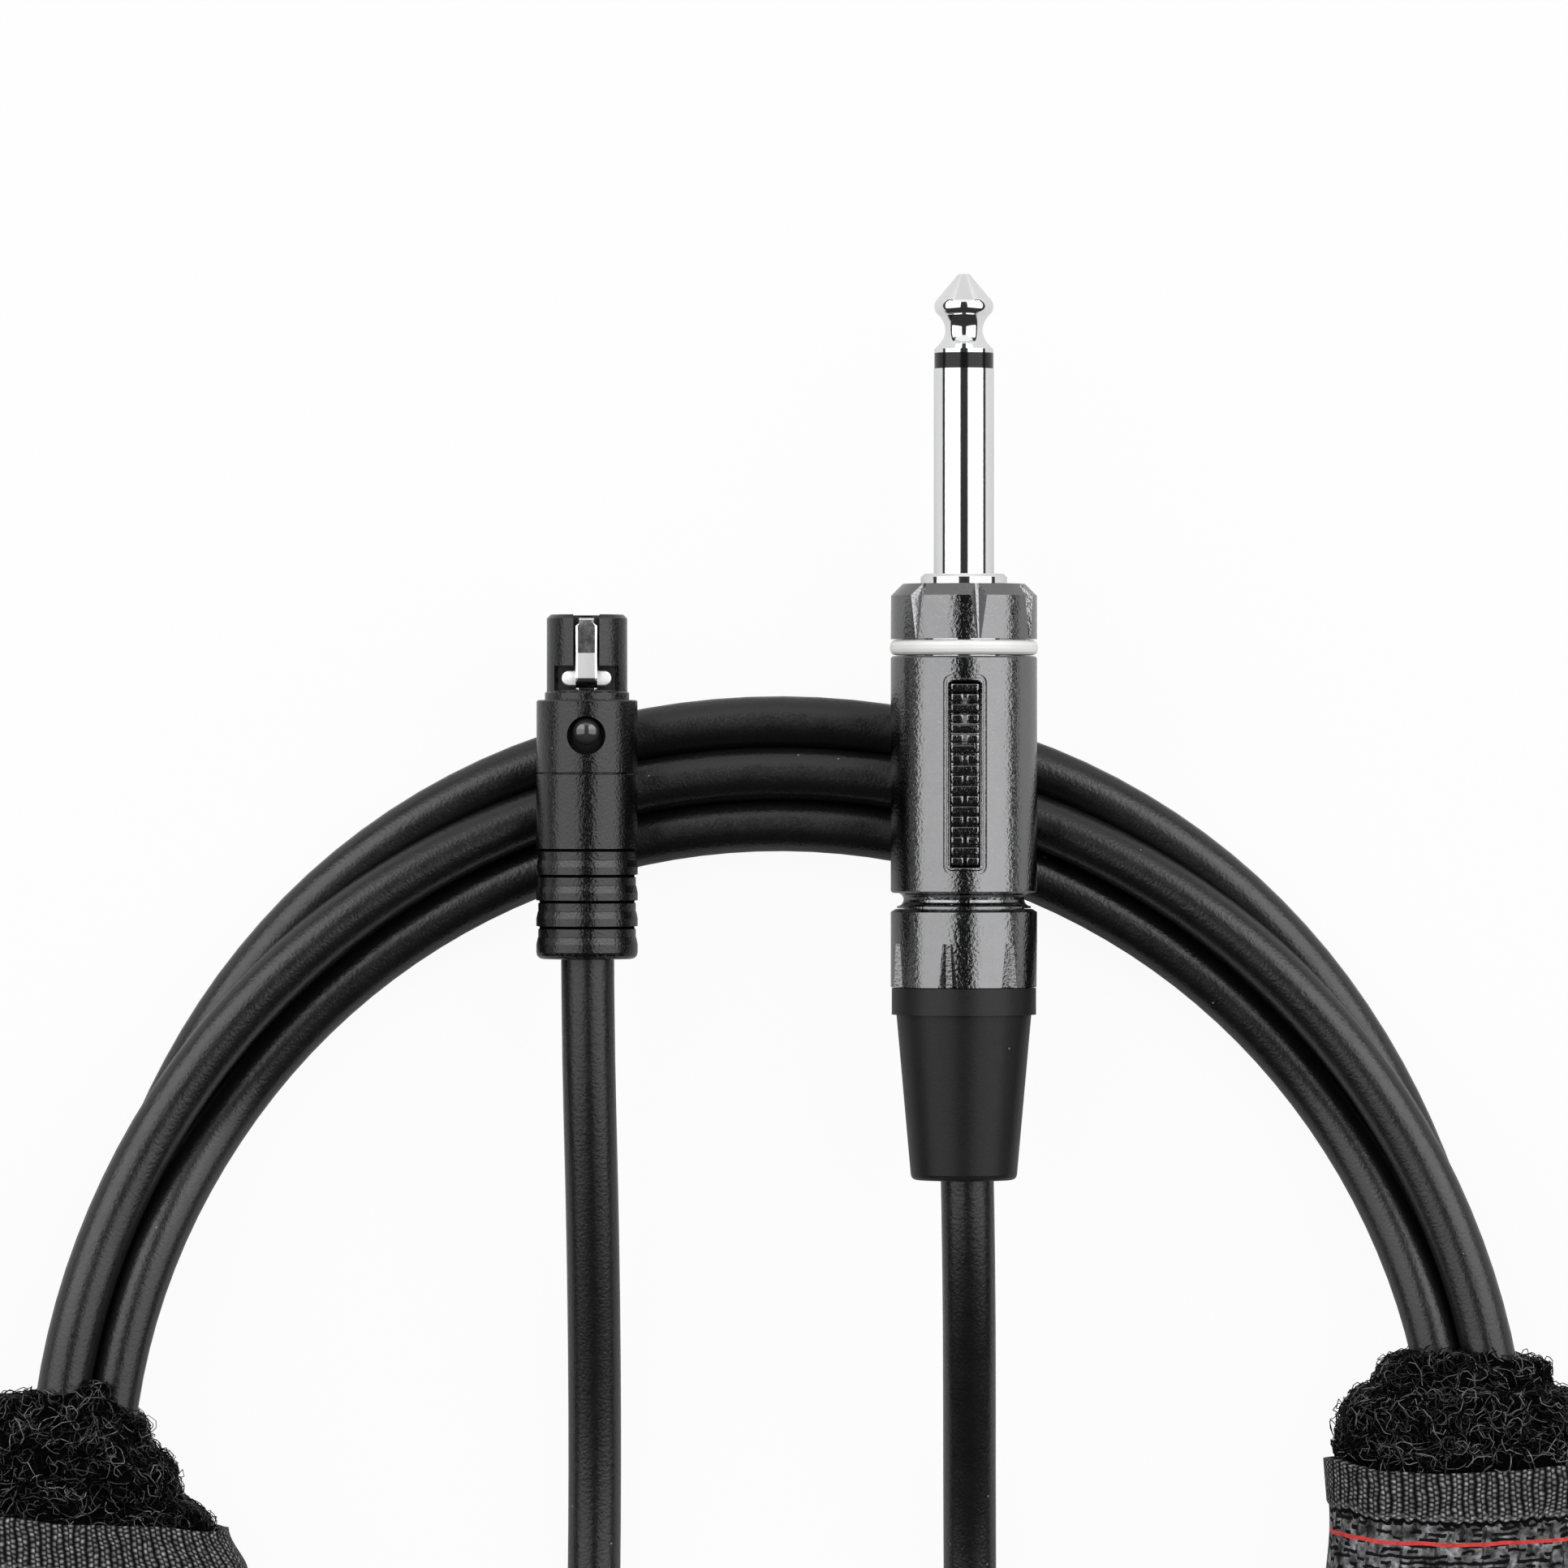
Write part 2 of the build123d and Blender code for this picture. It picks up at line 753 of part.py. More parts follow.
def write_all():
    os.makedirs("parts", exist_ok=True)
    plug = {
        "ts_tip": tip(),
        "ts_tip_insulator": tip_insulator(),
        "ts_sleeve": sleeve(),
        "ts_front_ring": front_ring(),
        "ts_coding_ring": coding_ring(),
        "ts_barrel": barrel(),
        "ts_rear_nut": rear_nut(),
        "ts_boot": boot(),
        "ts_liner": liner(),
        "ts_chuck": chuck(),
        "ts_ground_terminal": ground_terminal(),
        "ts_terminal_washer": terminal_washer(),
        "ts_tip_terminal": tip_terminal(),
        "ts_hot_wire": hot_wire(),
        "ts_shield_tail": shield_tail(),
    }
    socket = {
        "xlr_nose": nose(),
        "xlr_insert": insert(),
        "xlr_contacts": contacts(),
        "xlr_latch": latch(),
        "xlr_button": button(),
        "xlr_body_shell": body_shell(),
        "xlr_handle": handle(),
        "xlr_cord_clamp": cord_clamp(),
        "xlr_wires": contact_wires(),
    }
    cable = {
        "cord_lead_xlr": lead(socket_route()),
        "cord_lead_ts": lead(plug_route()),
        "cord_coil": coil(),
        "left_tie_pile": tie_pile(left_tie),
        "left_tie_webbing": tie_webbing(left_tie),
        "right_tie_pile": tie_pile(right_tie),
        "right_tie_webbing": tie_webbing(right_tie),
    }
    for place, group in ((ts_place, plug), (xlr_place, socket), (Pos(0, 0, 0), cable)):
        for name, shape in group.items():
            solids = shape if isinstance(shape, list) else [shape]
            placed = [s for part in solids for s in (place * part).solids()]
            export_step(Compound(children=placed) if len(placed) > 1 else placed[0], f"parts/{name}.step")


write_all()
print("coil middle y", round(coil_y, 3), "plug axis z", round(ts_z, 3), "socket axis z", round(xlr_z, 3))
print("button at", round(button_at, 3), "pivot at", round(pivot_at, 3))
print("lengths", round(ts_length, 3), round(xlr_length, 3))
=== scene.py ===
# %% [markdown]
# # An instrument cable
# A coiled cable with a quarter-inch plug, a mini-XLR socket and two hook-and-loop
# ties. The rigid pieces come from the CAD model, already in place and to size, and
# only need finishes. The cord and the ties are soft, so they are modelled here.
# Everything is in metres, in one frame: +Z up, +Y the way both plugs point.

# %% Load the CAD frame
import random
from math import atan2, cos, degrees, hypot, pi, radians, sin, sqrt, tau

import bmesh
import bpy
from mathutils import Matrix, Vector, noise
from mathutils.bvhtree import BVHTree


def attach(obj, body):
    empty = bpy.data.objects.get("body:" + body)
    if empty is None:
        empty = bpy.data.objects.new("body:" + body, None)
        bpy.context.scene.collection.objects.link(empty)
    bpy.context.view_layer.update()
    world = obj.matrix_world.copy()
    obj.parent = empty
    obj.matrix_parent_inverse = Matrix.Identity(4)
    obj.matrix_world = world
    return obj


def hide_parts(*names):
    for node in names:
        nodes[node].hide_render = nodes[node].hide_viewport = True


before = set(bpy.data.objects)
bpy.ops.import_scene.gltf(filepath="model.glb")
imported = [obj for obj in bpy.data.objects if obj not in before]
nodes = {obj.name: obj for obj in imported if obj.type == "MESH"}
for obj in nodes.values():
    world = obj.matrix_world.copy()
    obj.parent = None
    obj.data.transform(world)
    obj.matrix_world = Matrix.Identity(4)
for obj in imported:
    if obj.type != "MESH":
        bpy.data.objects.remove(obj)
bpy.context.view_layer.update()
MM = 0.001


def placed(name, data):
    """A new object in the scene, left at the origin."""
    item = bpy.data.objects.new(name, data)
    bpy.context.scene.collection.objects.link(item)
    return item


# %% [markdown]
# ## Camera and studio
# A product shot from straight above, as on a copy stand. A long lens far away keeps
# the plugs' sides parallel, and the floor is the paper under them. The frame's top is
# the way the plugs point, so the camera has no turn at all.

# %% Camera
VIEW_MIDDLE = (0.47 * MM, 26.04 * MM)
VIEW_WIDTH = 165.0 * MM
CAMERA_HEIGHT = 1.15
PLUG_HEIGHT = 15.2 * MM
SENSOR = 36.0
CLIP_END = 20

camera_data = bpy.data.cameras.new("camera")
camera_data.sensor_width = SENSOR
camera_data.lens = SENSOR * (CAMERA_HEIGHT - PLUG_HEIGHT) / VIEW_WIDTH
camera_data.clip_end = CLIP_END
camera = placed("camera", camera_data)
camera.location = (*VIEW_MIDDLE, CAMERA_HEIGHT)
bpy.context.scene.camera = camera
bpy.context.scene.view_settings.view_transform = "Standard"
print("lens", round(camera_data.lens, 1), "mm")

# %% [markdown]
# ## Light
# Polished metal shows whatever is round it, so the lights are placed for their
# reflections. Two tall softboxes stand left and right of the camera with a dark gap
# between them: the gap is the dark line along the middle of each plug, and the strip
# between a softbox and the floor is the thin line near each edge. A third softbox
# beyond the plugs' tips lights the cones, and a dimmer one over it lights the far
# side of the coil. The tall pair is brighter on that side too, so that the slopes of
# the ribs stand out.

# %% Softboxes
def softbox(name, low_edge, high_edge, depth, middle, radiance, turn):
    """An area light between two edges, each given as (distance out, height).
    depth and middle are along the edges, and turn is about Z."""
    out = Vector((high_edge[0] - low_edge[0], 0, high_edge[1] - low_edge[1]))
    centre = Vector(((low_edge[0] + high_edge[0]) / 2, middle, (low_edge[1] + high_edge[1]) / 2))
    across = out.normalized()
    shine = Vector((0, 1, 0)).cross(across)
    if shine.dot(centre) > 0:
        shine = -shine
    along = shine.cross(across)
    turned = Matrix((across, along, -shine)).transposed().to_4x4()
    data = bpy.data.lights.new(name, "AREA")
    data.shape = "RECTANGLE"
    data.size = out.length
    data.size_y = depth
    data.energy = radiance * pi * out.length * depth
    light = placed(name, data)
    light.matrix_world = Matrix.Rotation(radians(turn), 4, "Z") @ Matrix.Translation(centre) @ turned
    light.visible_camera = False
    print(name, "size", round(out.length, 2), "x", depth, "energy", round(data.energy, 2))


# The tall pair comes in two parts: name, depth, middle along Y, and how much brighter.
for part, depth, middle, gain in (("near", 0.65, -0.025, 1.0), ("rear", 0.85, 0.725, 1.7)):
    softbox("softbox_left_" + part, (-1.16, 0.27), (-0.35, 1.40), depth, middle, 1.9 * gain, 0)
    softbox("softbox_right_" + part, (1.16, 0.27), (0.38, 1.38), depth, middle, 2.1 * gain, 0)
softbox("softbox_far", (1.45, 0.0), (1.42, 0.32), 1.6, 0.0, 0.75, 90)
softbox("softbox_beyond", (1.40, 0.34), (1.02, 1.15), 1.8, 0.0, 1.0, 90)

# %% [markdown]
# ## Arithmetic with nodes
# Patterns and masks are worked out by Math nodes. A Value wraps a socket so that plain
# arithmetic adds those nodes: (a - b) * 2 makes a Subtract node and a Multiply node.

# %% Values
class Value:
    """A socket that takes plain arithmetic. Each step adds a Math node."""
    def __init__(self, socket):
        self.socket = socket
        self.tree = socket.id_data

    def __add__(self, other):
        return math_node("ADD", self, other)

    def __sub__(self, other):
        return math_node("SUBTRACT", self, other)

    def __rsub__(self, other):
        return math_node("SUBTRACT", other, self)

    def __mul__(self, other):
        return math_node("MULTIPLY", self, other)

    def __truediv__(self, other):
        return math_node("DIVIDE", self, other)

    def __pow__(self, other):
        return math_node("POWER", self, other)

    def __lt__(self, other):
        return math_node("LESS_THAN", self, other)

    def __gt__(self, other):
        return math_node("GREATER_THAN", self, other)

    def __abs__(self):
        return math_node("ABSOLUTE", self)


def feed(socket, value):
    """Links a Value to a socket, or sets the socket to a number, a vector or a colour."""
    if isinstance(value, Value):
        value.tree.links.new(value.socket, socket)
    else:
        socket.default_value = value


def add_node(tree, kind, inputs=()):
    """A new shader node, with its inputs fed from a table."""
    node = tree.nodes.new("ShaderNode" + kind)
    for label, value in dict(inputs).items():
        feed(node.inputs[label], value)
    return node


def math_node(operation, *values):
    """A Math node on Values and numbers."""
    tree = [value for value in values if isinstance(value, Value)][0].tree
    node = add_node(tree, "Math", enumerate(values))
    node.operation = operation
    return Value(node.outputs[0])


# %% [markdown]
# ## World and floor
# The room is a dim grey to the metal, and white to the camera. The floor is matt paper
# that shows the camera mostly its own white, so that only a soft shadow is left on it.

# %% World and floor
ROOM_GREY = (0.035, 0.035, 0.036, 1)
PAPER_GREY = (0.62, 0.62, 0.62, 1)
WHITE = (1, 1, 1, 1)
FLOOR_HALF = 3.0
PAPER_GLOW = 0.94


def ray_mask(tree, *rays):
    """1 where any of some kinds of ray sees the surface, and 0 elsewhere."""
    path = add_node(tree, "LightPath")
    mask = Value(path.outputs[rays[0]])
    for ray in rays[1:]:
        mask = math_node("MAXIMUM", mask, Value(path.outputs[ray]))
    return mask


def two_faced(tree, mask, first, second, output):
    """Shows the first shader, and the second where the mask is 1.
    Each shader is (kind of node, colour)."""
    shown = [Value(add_node(tree, kind, {"Color": colour}).outputs[0]) for kind, colour in (first, second)]
    mix = add_node(tree, "MixShader", enumerate([mask] + shown))
    add_node(tree, output, {"Surface": Value(mix.outputs[0])})


world = bpy.data.worlds.new("room")
bpy.context.scene.world = world
paper = bpy.data.materials.new("paper")
for block in (world, paper):
    block.use_nodes = True
    block.node_tree.nodes.clear()
room_tree, paper_tree = world.node_tree, paper.node_tree
two_faced(room_tree, ray_mask(room_tree, "Is Camera Ray"), ("Background", ROOM_GREY),
          ("Background", WHITE), "OutputWorld")
two_faced(paper_tree, ray_mask(paper_tree, "Is Camera Ray", "Is Transmission Ray") * PAPER_GLOW,
          ("BsdfDiffuse", PAPER_GREY), ("Emission", WHITE), "OutputMaterial")

shape = bmesh.new()
bmesh.ops.create_grid(shape, x_segments=1, y_segments=1, size=FLOOR_HALF)
mesh = bpy.data.meshes.new("floor")
shape.to_mesh(mesh)
shape.free()
mesh.materials.append(paper)
placed("floor", mesh)
print("world", world.name, "floor", 2 * FLOOR_HALF, "m wide")

# %% [markdown]
# ## The cord
# The cord is one length from the socket, round the coil and into the plug, so it is
# one curve. A NURBS spline stays inside its control points and has no corners, as a
# stiff jacketed cable does. Its leads' points are listed one by one. The coil's points
# come from a loop: three passes, each with its own radius at the sides and in front.

# %% The cord's leads and the coil's tracks
CORD_D = 5.6 * MM
COIL_Y = -49.712
FLOOR_Z = CORD_D / MM / 2

SOCKET_LEAD = [
    (-20.3, 73.1, 12.85), (-20.3, 52.0, 12.85), (-19.7, 27.0, 8.6), (-19.6, 2.0, 2.8),
    (-19.9, -21.0, 2.8), (-19.7, -42.0, 2.8), (-12.5, -55.8, 2.8), (0.3, -64.8, 2.8),
    (15.8, -66.9, 2.8), (30.5, -61.6, 2.8),
]
PLUG_LEAD = [
    (-32.7, -70.05, 9.2), (-17.1, -75.3, 9.2), (-0.9, -73.0, 9.2), (12.6, -63.4, 8.9),
    (20.1, -48.7, 6.0), (20.4, -28.0, 2.8), (20.2, -5.0, 2.8), (20.0, 25.0, 14.7),
    (19.4, 49.0, 15.2), (19.4, 68.0, 15.2),
]
# Each pass: radius at the right, in front, at the left and behind, where the next one starts.
INNER_PASS = (71.25, 71.4, 71.25, 74.2)
OUTER_PASS = (74.5, 82.3, 73.3, 79.9)
MIDDLE_PASS = (76.42, 76.85, 76.42, 77.6)
TIE_LIFT = 2.8
RIGHT_TIE = (-19.0, 12.5)
LEFT_TIE = (170.3, 199.5)

# %% One curve for the whole cord
# Degrees: from point to point, where the coil starts and ends, and how long the slope
# beside a tie is.
STEP = 10
COIL_FROM, COIL_TO = 306, 1316
TIE_SLOPE = 30
# The radius behind the coil, where the first pass would have come from.
BEHIND_BEFORE = 68.2


def eased(at, start, span):
    """0 to 1 over a span, with a soft start and end."""
    part = min(1.0, max(0.0, (at - start) / span))
    return part * part * (3 - 2 * part)


def pass_radius(turn, before, track):
    """A pass's radius from behind the coil (-90 degrees), round the front, to behind again."""
    right, front, left, behind = track
    if turn < 0:
        return right + (before - right) * sin(radians(turn)) ** 2
    if turn > 180:
        return left + (behind - left) * sin(radians(turn)) ** 2
    side = right if turn < 90 else left
    return side + (front - side) * (1 - abs(cos(radians(turn))) ** 3)


def tie_height(turn):
    """How far the ties under the coil lift it off the floor at an angle."""
    lifts = [eased(turn, low - TIE_SLOPE, TIE_SLOPE) * (1 - eased(turn, high, TIE_SLOPE))
             for low, high in (RIGHT_TIE, LEFT_TIE)]
    return TIE_LIFT * max(lifts)


def rest_height(radius, floor, others):
    """The height at which a strand lies on the floor or on the strands beside it."""
    d = CORD_D / MM
    height = floor
    for other_radius, other_height in others:
        apart = abs(radius - other_radius)
        if apart < d:
            height = max(height, other_height + sqrt(d * d - apart * apart))
    return height


def strand(turn):
    """Radius and height of a pass at a whole angle, counted on from the first pass."""
    number, local = divmod(turn + 90, 360)
    local -= 90
    floor = FLOOR_Z + tie_height(local)
    inner = pass_radius(local, BEHIND_BEFORE, INNER_PASS)
    outer = pass_radius(local, INNER_PASS[3], OUTER_PASS)
    middle = pass_radius(local, OUTER_PASS[3], MIDDLE_PASS)
    inner_z = rest_height(inner, floor, [(outer, floor)])
    if number == 1:
        return inner, inner_z
    if number == 2:
        return outer, floor
    return middle, rest_height(middle, floor, [(outer, floor), (inner, inner_z)])


def cord_route():
    """Every control point of the cord, in millimetres about the coil's middle."""
    route = list(SOCKET_LEAD)
    outward = 1 / cos(radians(STEP / 2))  # the curve runs inside its control points
    for turn in range(COIL_FROM, COIL_TO, STEP):
        radius, height = strand(turn)
        angle = radians(turn)
        route.append((radius * outward * cos(angle), radius * outward * sin(angle), height))
    return route + PLUG_LEAD


def make_cord(route):
    """One NURBS tube through the whole route."""
    data = bpy.data.curves.new("cord", "CURVE")
    data.dimensions = "3D"
    data.bevel_depth = 1.0
    data.bevel_resolution = 6
    data.resolution_u = 4
    data.use_fill_caps = True
    spline = data.splines.new("NURBS")
    spline.points.add(len(route) - 1)
    for point, (x, y, z) in zip(spline.points, route):
        point.co = (x * MM, (y + COIL_Y) * MM, z * MM, 1)
        point.radius = CORD_D / 2
    spline.order_u = 3
    spline.use_endpoint_u = True
    return placed("cord", data)


route = cord_route()
cord = make_cord(route)
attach(cord, "cable")
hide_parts("cord_lead_xlr", "cord_lead_ts", "cord_coil")
print("cord points", len(route))

# %% [markdown]
# ## Shared surface effects
# No moulded or cast surface is one flat colour. Three effects come back on many
# pieces, so each is a node group: a fine grain with its own shade, the turning
# marks of a lathe, and a few specks of dust. A group only works out values; each
# material decides what they do to its colour, gloss and relief.

# %% Node helpers
def new_group(name, inputs, outputs):
    """A shader node group: its tree, its inputs as Values by name, and its output sockets."""
    group = bpy.data.node_groups.new(name, "ShaderNodeTree")
    for label, value in inputs.items():
        socket = group.interface.new_socket(label, in_out="INPUT", socket_type="NodeSocketFloat")
        socket.default_value = value
    for label in outputs:
        group.interface.new_socket(label, in_out="OUTPUT", socket_type="NodeSocketFloat")
    start, end = group.nodes.new("NodeGroupInput"), group.nodes.new("NodeGroupOutput")
    return group, {label: Value(start.outputs[label]) for label in inputs}, end.inputs


def place_group(tree, group, **values):
    """Uses a node group with some numbers; gives back its outputs as Values by name."""
    node = add_node(tree, "Group")
    node.node_tree = group
    for label, value in values.items():
        feed(node.inputs[label], value)
    return {socket.name: Value(socket) for socket in node.outputs}


def object_point(tree):
    return Value(add_node(tree, "TexCoord").outputs["Object"])


def split_vector(vector):
    """The three numbers of a vector."""
    return [Value(socket) for socket in add_node(vector.tree, "SeparateXYZ", {0: vector}).outputs]


def noise_value(point, scale, detail=2.0):
    node = add_node(point.tree, "TexNoise", {"Vector": point, "Scale": scale, "Detail": detail})
    return Value(node.outputs["Fac"])


# %% Grain, lathe marks and dust
def make_grain():
    """Relief as fine as Scale says, and a shade that drifts six times more slowly."""
    group, given, out = new_group("grain", {"Scale": 2000}, ["Height", "Shade"])
    point = object_point(group)
    fine = noise_value(point, given["Scale"], 3.0)
    slow = noise_value(point, given["Scale"] / 6)
    feed(out["Height"], fine)
    feed(out["Shade"], fine * 0.5 + slow * 0.5)
    return group


def make_lathe():
    """Rings round an axis along Y: noise that changes only with Y."""
    group, given, out = new_group("lathe", {"Scale": 4000}, ["Height"])
    stretch = add_node(group, "VectorMath", {0: object_point(group), 1: (0.03, 1, 0.03)})
    stretch.operation = "MULTIPLY"
    feed(out["Height"], noise_value(Value(stretch.outputs[0]), given["Scale"], 1.0))
    return group


def make_dust():
    """Small specks in a few of the cells of a Voronoi pattern."""
    group, given, out = new_group("dust", {"Scale": 500, "Size": 0.06, "Share": 0.2}, ["Mask"])
    cells = add_node(group, "TexVoronoi", {"Vector": object_point(group), "Scale": given["Scale"]})
    draw = add_node(group, "SeparateColor", {0: Value(cells.outputs["Color"])})
    near = Value(cells.outputs["Distance"]) < given["Size"]
    chosen = Value(draw.outputs[0]) < given["Share"]
    feed(out["Mask"], near * chosen)
    return group


GRAIN, LATHE, DUST = make_grain(), make_lathe(), make_dust()
print("node groups", [group.name for group in bpy.data.node_groups])

# %% [markdown]
# ## Finishes
# Every finish is the same recipe with its own numbers: a colour that varies a
# little with the grain, gloss that varies with it too, and relief through a Bump
# node whose distance is in metres, so that it is true to the piece's own size.

# %% The recipe
LATHE_SCALE = 6000
DUST_GREY = (0.16, 0.16, 0.165, 1)
FINISHES = {}


def between(mask, low, high):
    """A value that runs from low to high with a mask from 0.3 to 0.7."""
    limits = {"Value": mask, "From Min": 0.3, "From Max": 0.7, "To Min": low, "To Max": high}
    return Value(add_node(mask.tree, "MapRange", limits).outputs["Result"])


def mixed(mask, first, second, kind="RGBA"):
    """A value between two. kind is RGBA for colours and VALUE for numbers."""
    node = add_node(mask.tree, "Mix", {"Factor": mask})
    node.data_type = "RGBA" if kind == "RGBA" else "FLOAT"
    for label, value in (("A", first), ("B", second)):
        feed([socket for socket in node.inputs if socket.name == label and socket.type == kind][0], value)
    return Value([socket for socket in node.outputs if socket.type == kind][0])


def shaded(colour, factor):
    """A lighter or darker colour, with its alpha."""
    return tuple(min(1.0, part * factor) for part in colour) + (1.0,)


def surface_of(name):
    """A finish's node tree and the inputs of its shader. The finish is made if it is new."""
    if name not in FINISHES:
        FINISHES[name] = bpy.data.materials.new(name)
        FINISHES[name].use_nodes = True
    tree = FINISHES[name].node_tree
    return tree, tree.nodes["Principled BSDF"].inputs


def add_relief(surface, height, distance):
    """Bump on a shader, with its distance in millimetres."""
    bump = add_node(height.tree, "Bump", {"Distance": distance * MM, "Height": height})
    feed(surface["Normal"], Value(bump.outputs[0]))


def finish(name, colour, rough, metal=0.0, specular=0.5, grain=0.3, relief=0.004, tone=0.08,
           gloss_tone=0.1, lathe=0.0, dust=0.0):
    """A moulded, cast or plated finish. grain and relief are sizes in millimetres."""
    tree, surface = surface_of(name)
    feed(surface["Metallic"], metal)
    feed(surface["Specular IOR Level"], specular)
    texture = place_group(tree, GRAIN, Scale=1 / (grain * MM))
    shade, height = texture["Shade"], texture["Height"]
    body = mixed(between(shade, 0, 1), shaded(colour, 1 - tone), shaded(colour, 1 + tone))
    if lathe:
        height = height + place_group(tree, LATHE, Scale=LATHE_SCALE)["Height"] * lathe
    if dust:
        body = mixed(place_group(tree, DUST, Share=dust)["Mask"], body, DUST_GREY)
    feed(surface["Base Color"], body)
    feed(surface["Roughness"], between(shade, rough * (1 - gloss_tone), rough * (1 + gloss_tone)))
    add_relief(surface, height, relief)


# %% The finishes of the plug, the socket and the cord
finish("nickel", (0.86, 0.86, 0.865), 0.09, 1, grain=0.5, relief=0.0006, tone=0.02, lathe=2.0)
finish("black_chrome", (0.185, 0.185, 0.188), 0.11, 1, grain=0.34, relief=0.05, tone=0.05)
finish("white_ring", (0.68, 0.68, 0.67), 0.35, grain=1.0, relief=0.002, tone=0.02)
finish("black_ring", (0.006, 0.006, 0.006), 0.16, specular=0.3)
finish("boot_rubber", (0.006, 0.006, 0.0062), 0.4, specular=0.28, grain=0.25, relief=0.012, dust=0.04)
finish("satin_black", (0.002, 0.002, 0.0022), 0.16, relief=0.06, gloss_tone=0.3, dust=0.05)
finish("button_black", (0.03, 0.03, 0.03), 0.13, specular=0.9, grain=0.5, relief=0.003)
finish("insert_black", (0.012, 0.012, 0.012), 0.4)
finish("latch_steel", (0.72, 0.72, 0.72), 0.17, 1, grain=0.6, relief=0.008, tone=0.12, gloss_tone=0.4)
finish("latch_satin", (0.85, 0.85, 0.85), 0.5, 1, grain=0.2, tone=0.05)
finish("gold_contact", (0.83, 0.62, 0.28), 0.18, 1, relief=0.002)
finish("tinned_brass", (0.70, 0.68, 0.62), 0.3, 1)
finish("inner_plastic", (0.72, 0.71, 0.66), 0.45, grain=0.4)
finish("clamp_plastic", (0.03, 0.03, 0.03), 0.5)
finish("wire_red", (0.5, 0.03, 0.025), 0.45)
finish("copper", (0.80, 0.45, 0.28), 0.3, 1, grain=0.2, relief=0.01)
finish("cord_jacket", (0.005, 0.005, 0.0053), 0.3, grain=0.35, relief=0.045, gloss_tone=0.2, dust=0.12)
NODE_FINISHES = {
    "nickel": ["ts_tip", "ts_sleeve"],
    "black_chrome": ["ts_front_ring", "ts_barrel", "ts_rear_nut"],
    "white_ring": ["ts_coding_ring"],
    "black_ring": ["ts_tip_insulator"],
    "boot_rubber": ["ts_boot"],
    "satin_black": ["xlr_nose", "xlr_body_shell", "xlr_handle"],
    "button_black": ["xlr_button"],
    "insert_black": ["xlr_insert"],
    "latch_steel": ["xlr_latch"],
    "gold_contact": ["xlr_contacts"],
    "tinned_brass": ["ts_ground_terminal", "ts_tip_terminal"],
    "inner_plastic": ["ts_liner", "ts_terminal_washer"],
    "clamp_plastic": ["ts_chuck", "xlr_cord_clamp"],
    "wire_red": ["xlr_wires"],
    "copper": ["ts_hot_wire", "ts_shield_tail"],
}
for slot, names in NODE_FINISHES.items():
    for name in names:
        nodes[name].data.materials.clear()
        nodes[name].data.materials.append(FINISHES[slot])
cord.data.materials.append(FINISHES["cord_jacket"])
print("finishes", len(FINISHES))

# %% Painted shade in the cuts between the ribs
SOCKET_AXIS = Vector((-20.3, 43.888, 12.85)) * MM
FIRST_CUT, RIB_PITCH, LAST_CUT = 24.82, 2.72, 3
CUT_SHADE_HALF, CUT_ROUGH = 0.12, 0.9


def fed_by(socket):
    """What a socket is linked to now."""
    return Value(socket.links[0].from_socket)


def painted_cut_shade(name):
    """Painted shade in the narrow cuts where the handle's ribs start: there the finish is fully matt and
    reflects nothing, so each cut shows black.
    """
    tree, surface = surface_of(name)
    behind = (SOCKET_AXIS.y - split_vector(object_point(tree))[1]) / MM
    past = behind - FIRST_CUT
    middle = LAST_CUT * RIB_PITCH / 2
    near = math_node("PINGPONG", past, RIB_PITCH / 2) < CUT_SHADE_HALF
    cut_shade = near * (abs(past - middle) < middle + 1)
    # Painted shade: in each cut the gloss and the reflection are taken away.
    feed(surface["Roughness"], mixed(cut_shade, fed_by(surface["Roughness"]), CUT_ROUGH, "VALUE"))
    feed(surface["Specular IOR Level"], (1 - cut_shade) * surface["Specular IOR Level"].default_value)


painted_cut_shade("satin_black")

# %% [markdown]
# ## From a bmesh to a piece
# Operators may number what they make in another order each run. A piece's mesh is
# therefore sorted by place, so that everything built on it comes out the same.

# %% Turning a bmesh into a piece
def face_outward(shape):
    bmesh.ops.recalc_face_normals(shape, faces=shape.faces)


def ordered_mesh(shape, name):
    """Copies a shape into a mesh with vertices and faces sorted by place, the same in every run."""
    verts = sorted(shape.verts, key=lambda vert: vert.co[:])
    ranks = {vert: rank for rank, vert in enumerate(verts)}
    faces = []
    for face in shape.faces:
        loops = face.loops[:]
        first = loops.index(min(loops, key=lambda loop: ranks[loop.vert]))
        faces.append(loops[first:] + loops[:first])
    faces.sort(key=lambda loops: [ranks[loop.vert] for loop in loops])
    corners = [[ranks[loop.vert] for loop in loops] for loops in faces]
    mesh = bpy.data.meshes.new(name)
    mesh.from_pydata([vert.co[:] for vert in verts], [], corners)
    chart = shape.loops.layers.uv.active
    if chart:
        spots = [value for loops in faces for loop in loops for value in loop[chart].uv]
        mesh.uv_layers.new(name=chart.name).data.foreach_set("uv", spots)
    shape.free()
    return mesh


def dressed(mesh, name, slot, body="cable", look=None):
    """A smooth piece riding on a body, with a slot's own finish or another look."""
    mesh.polygons.foreach_set("use_smooth", [True] * len(mesh.polygons))
    mesh.materials.append(FINISHES[look or slot])
    piece = placed(name, mesh)
    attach(piece, body)
    print(name, "faces", len(mesh.polygons))
    return piece


def finished(shape, name, slot, **settings):
    """A smooth piece made from a bmesh."""
    return dressed(ordered_mesh(shape, name), name, slot, **settings)


# %% [markdown]
# ## The barrel's panel
# The barrel has a long sunk panel with a raised pattern in it. A plain ladder of
# rounded bars on a plate inside a thin frame stands for the pattern, with every second
# bar split in two. A rounded bar shows every direction of the light in a narrow space,
# so it reads well on polished metal. Bars and frame are made flat and then bent round
# the barrel, because operators work best on flat shapes.

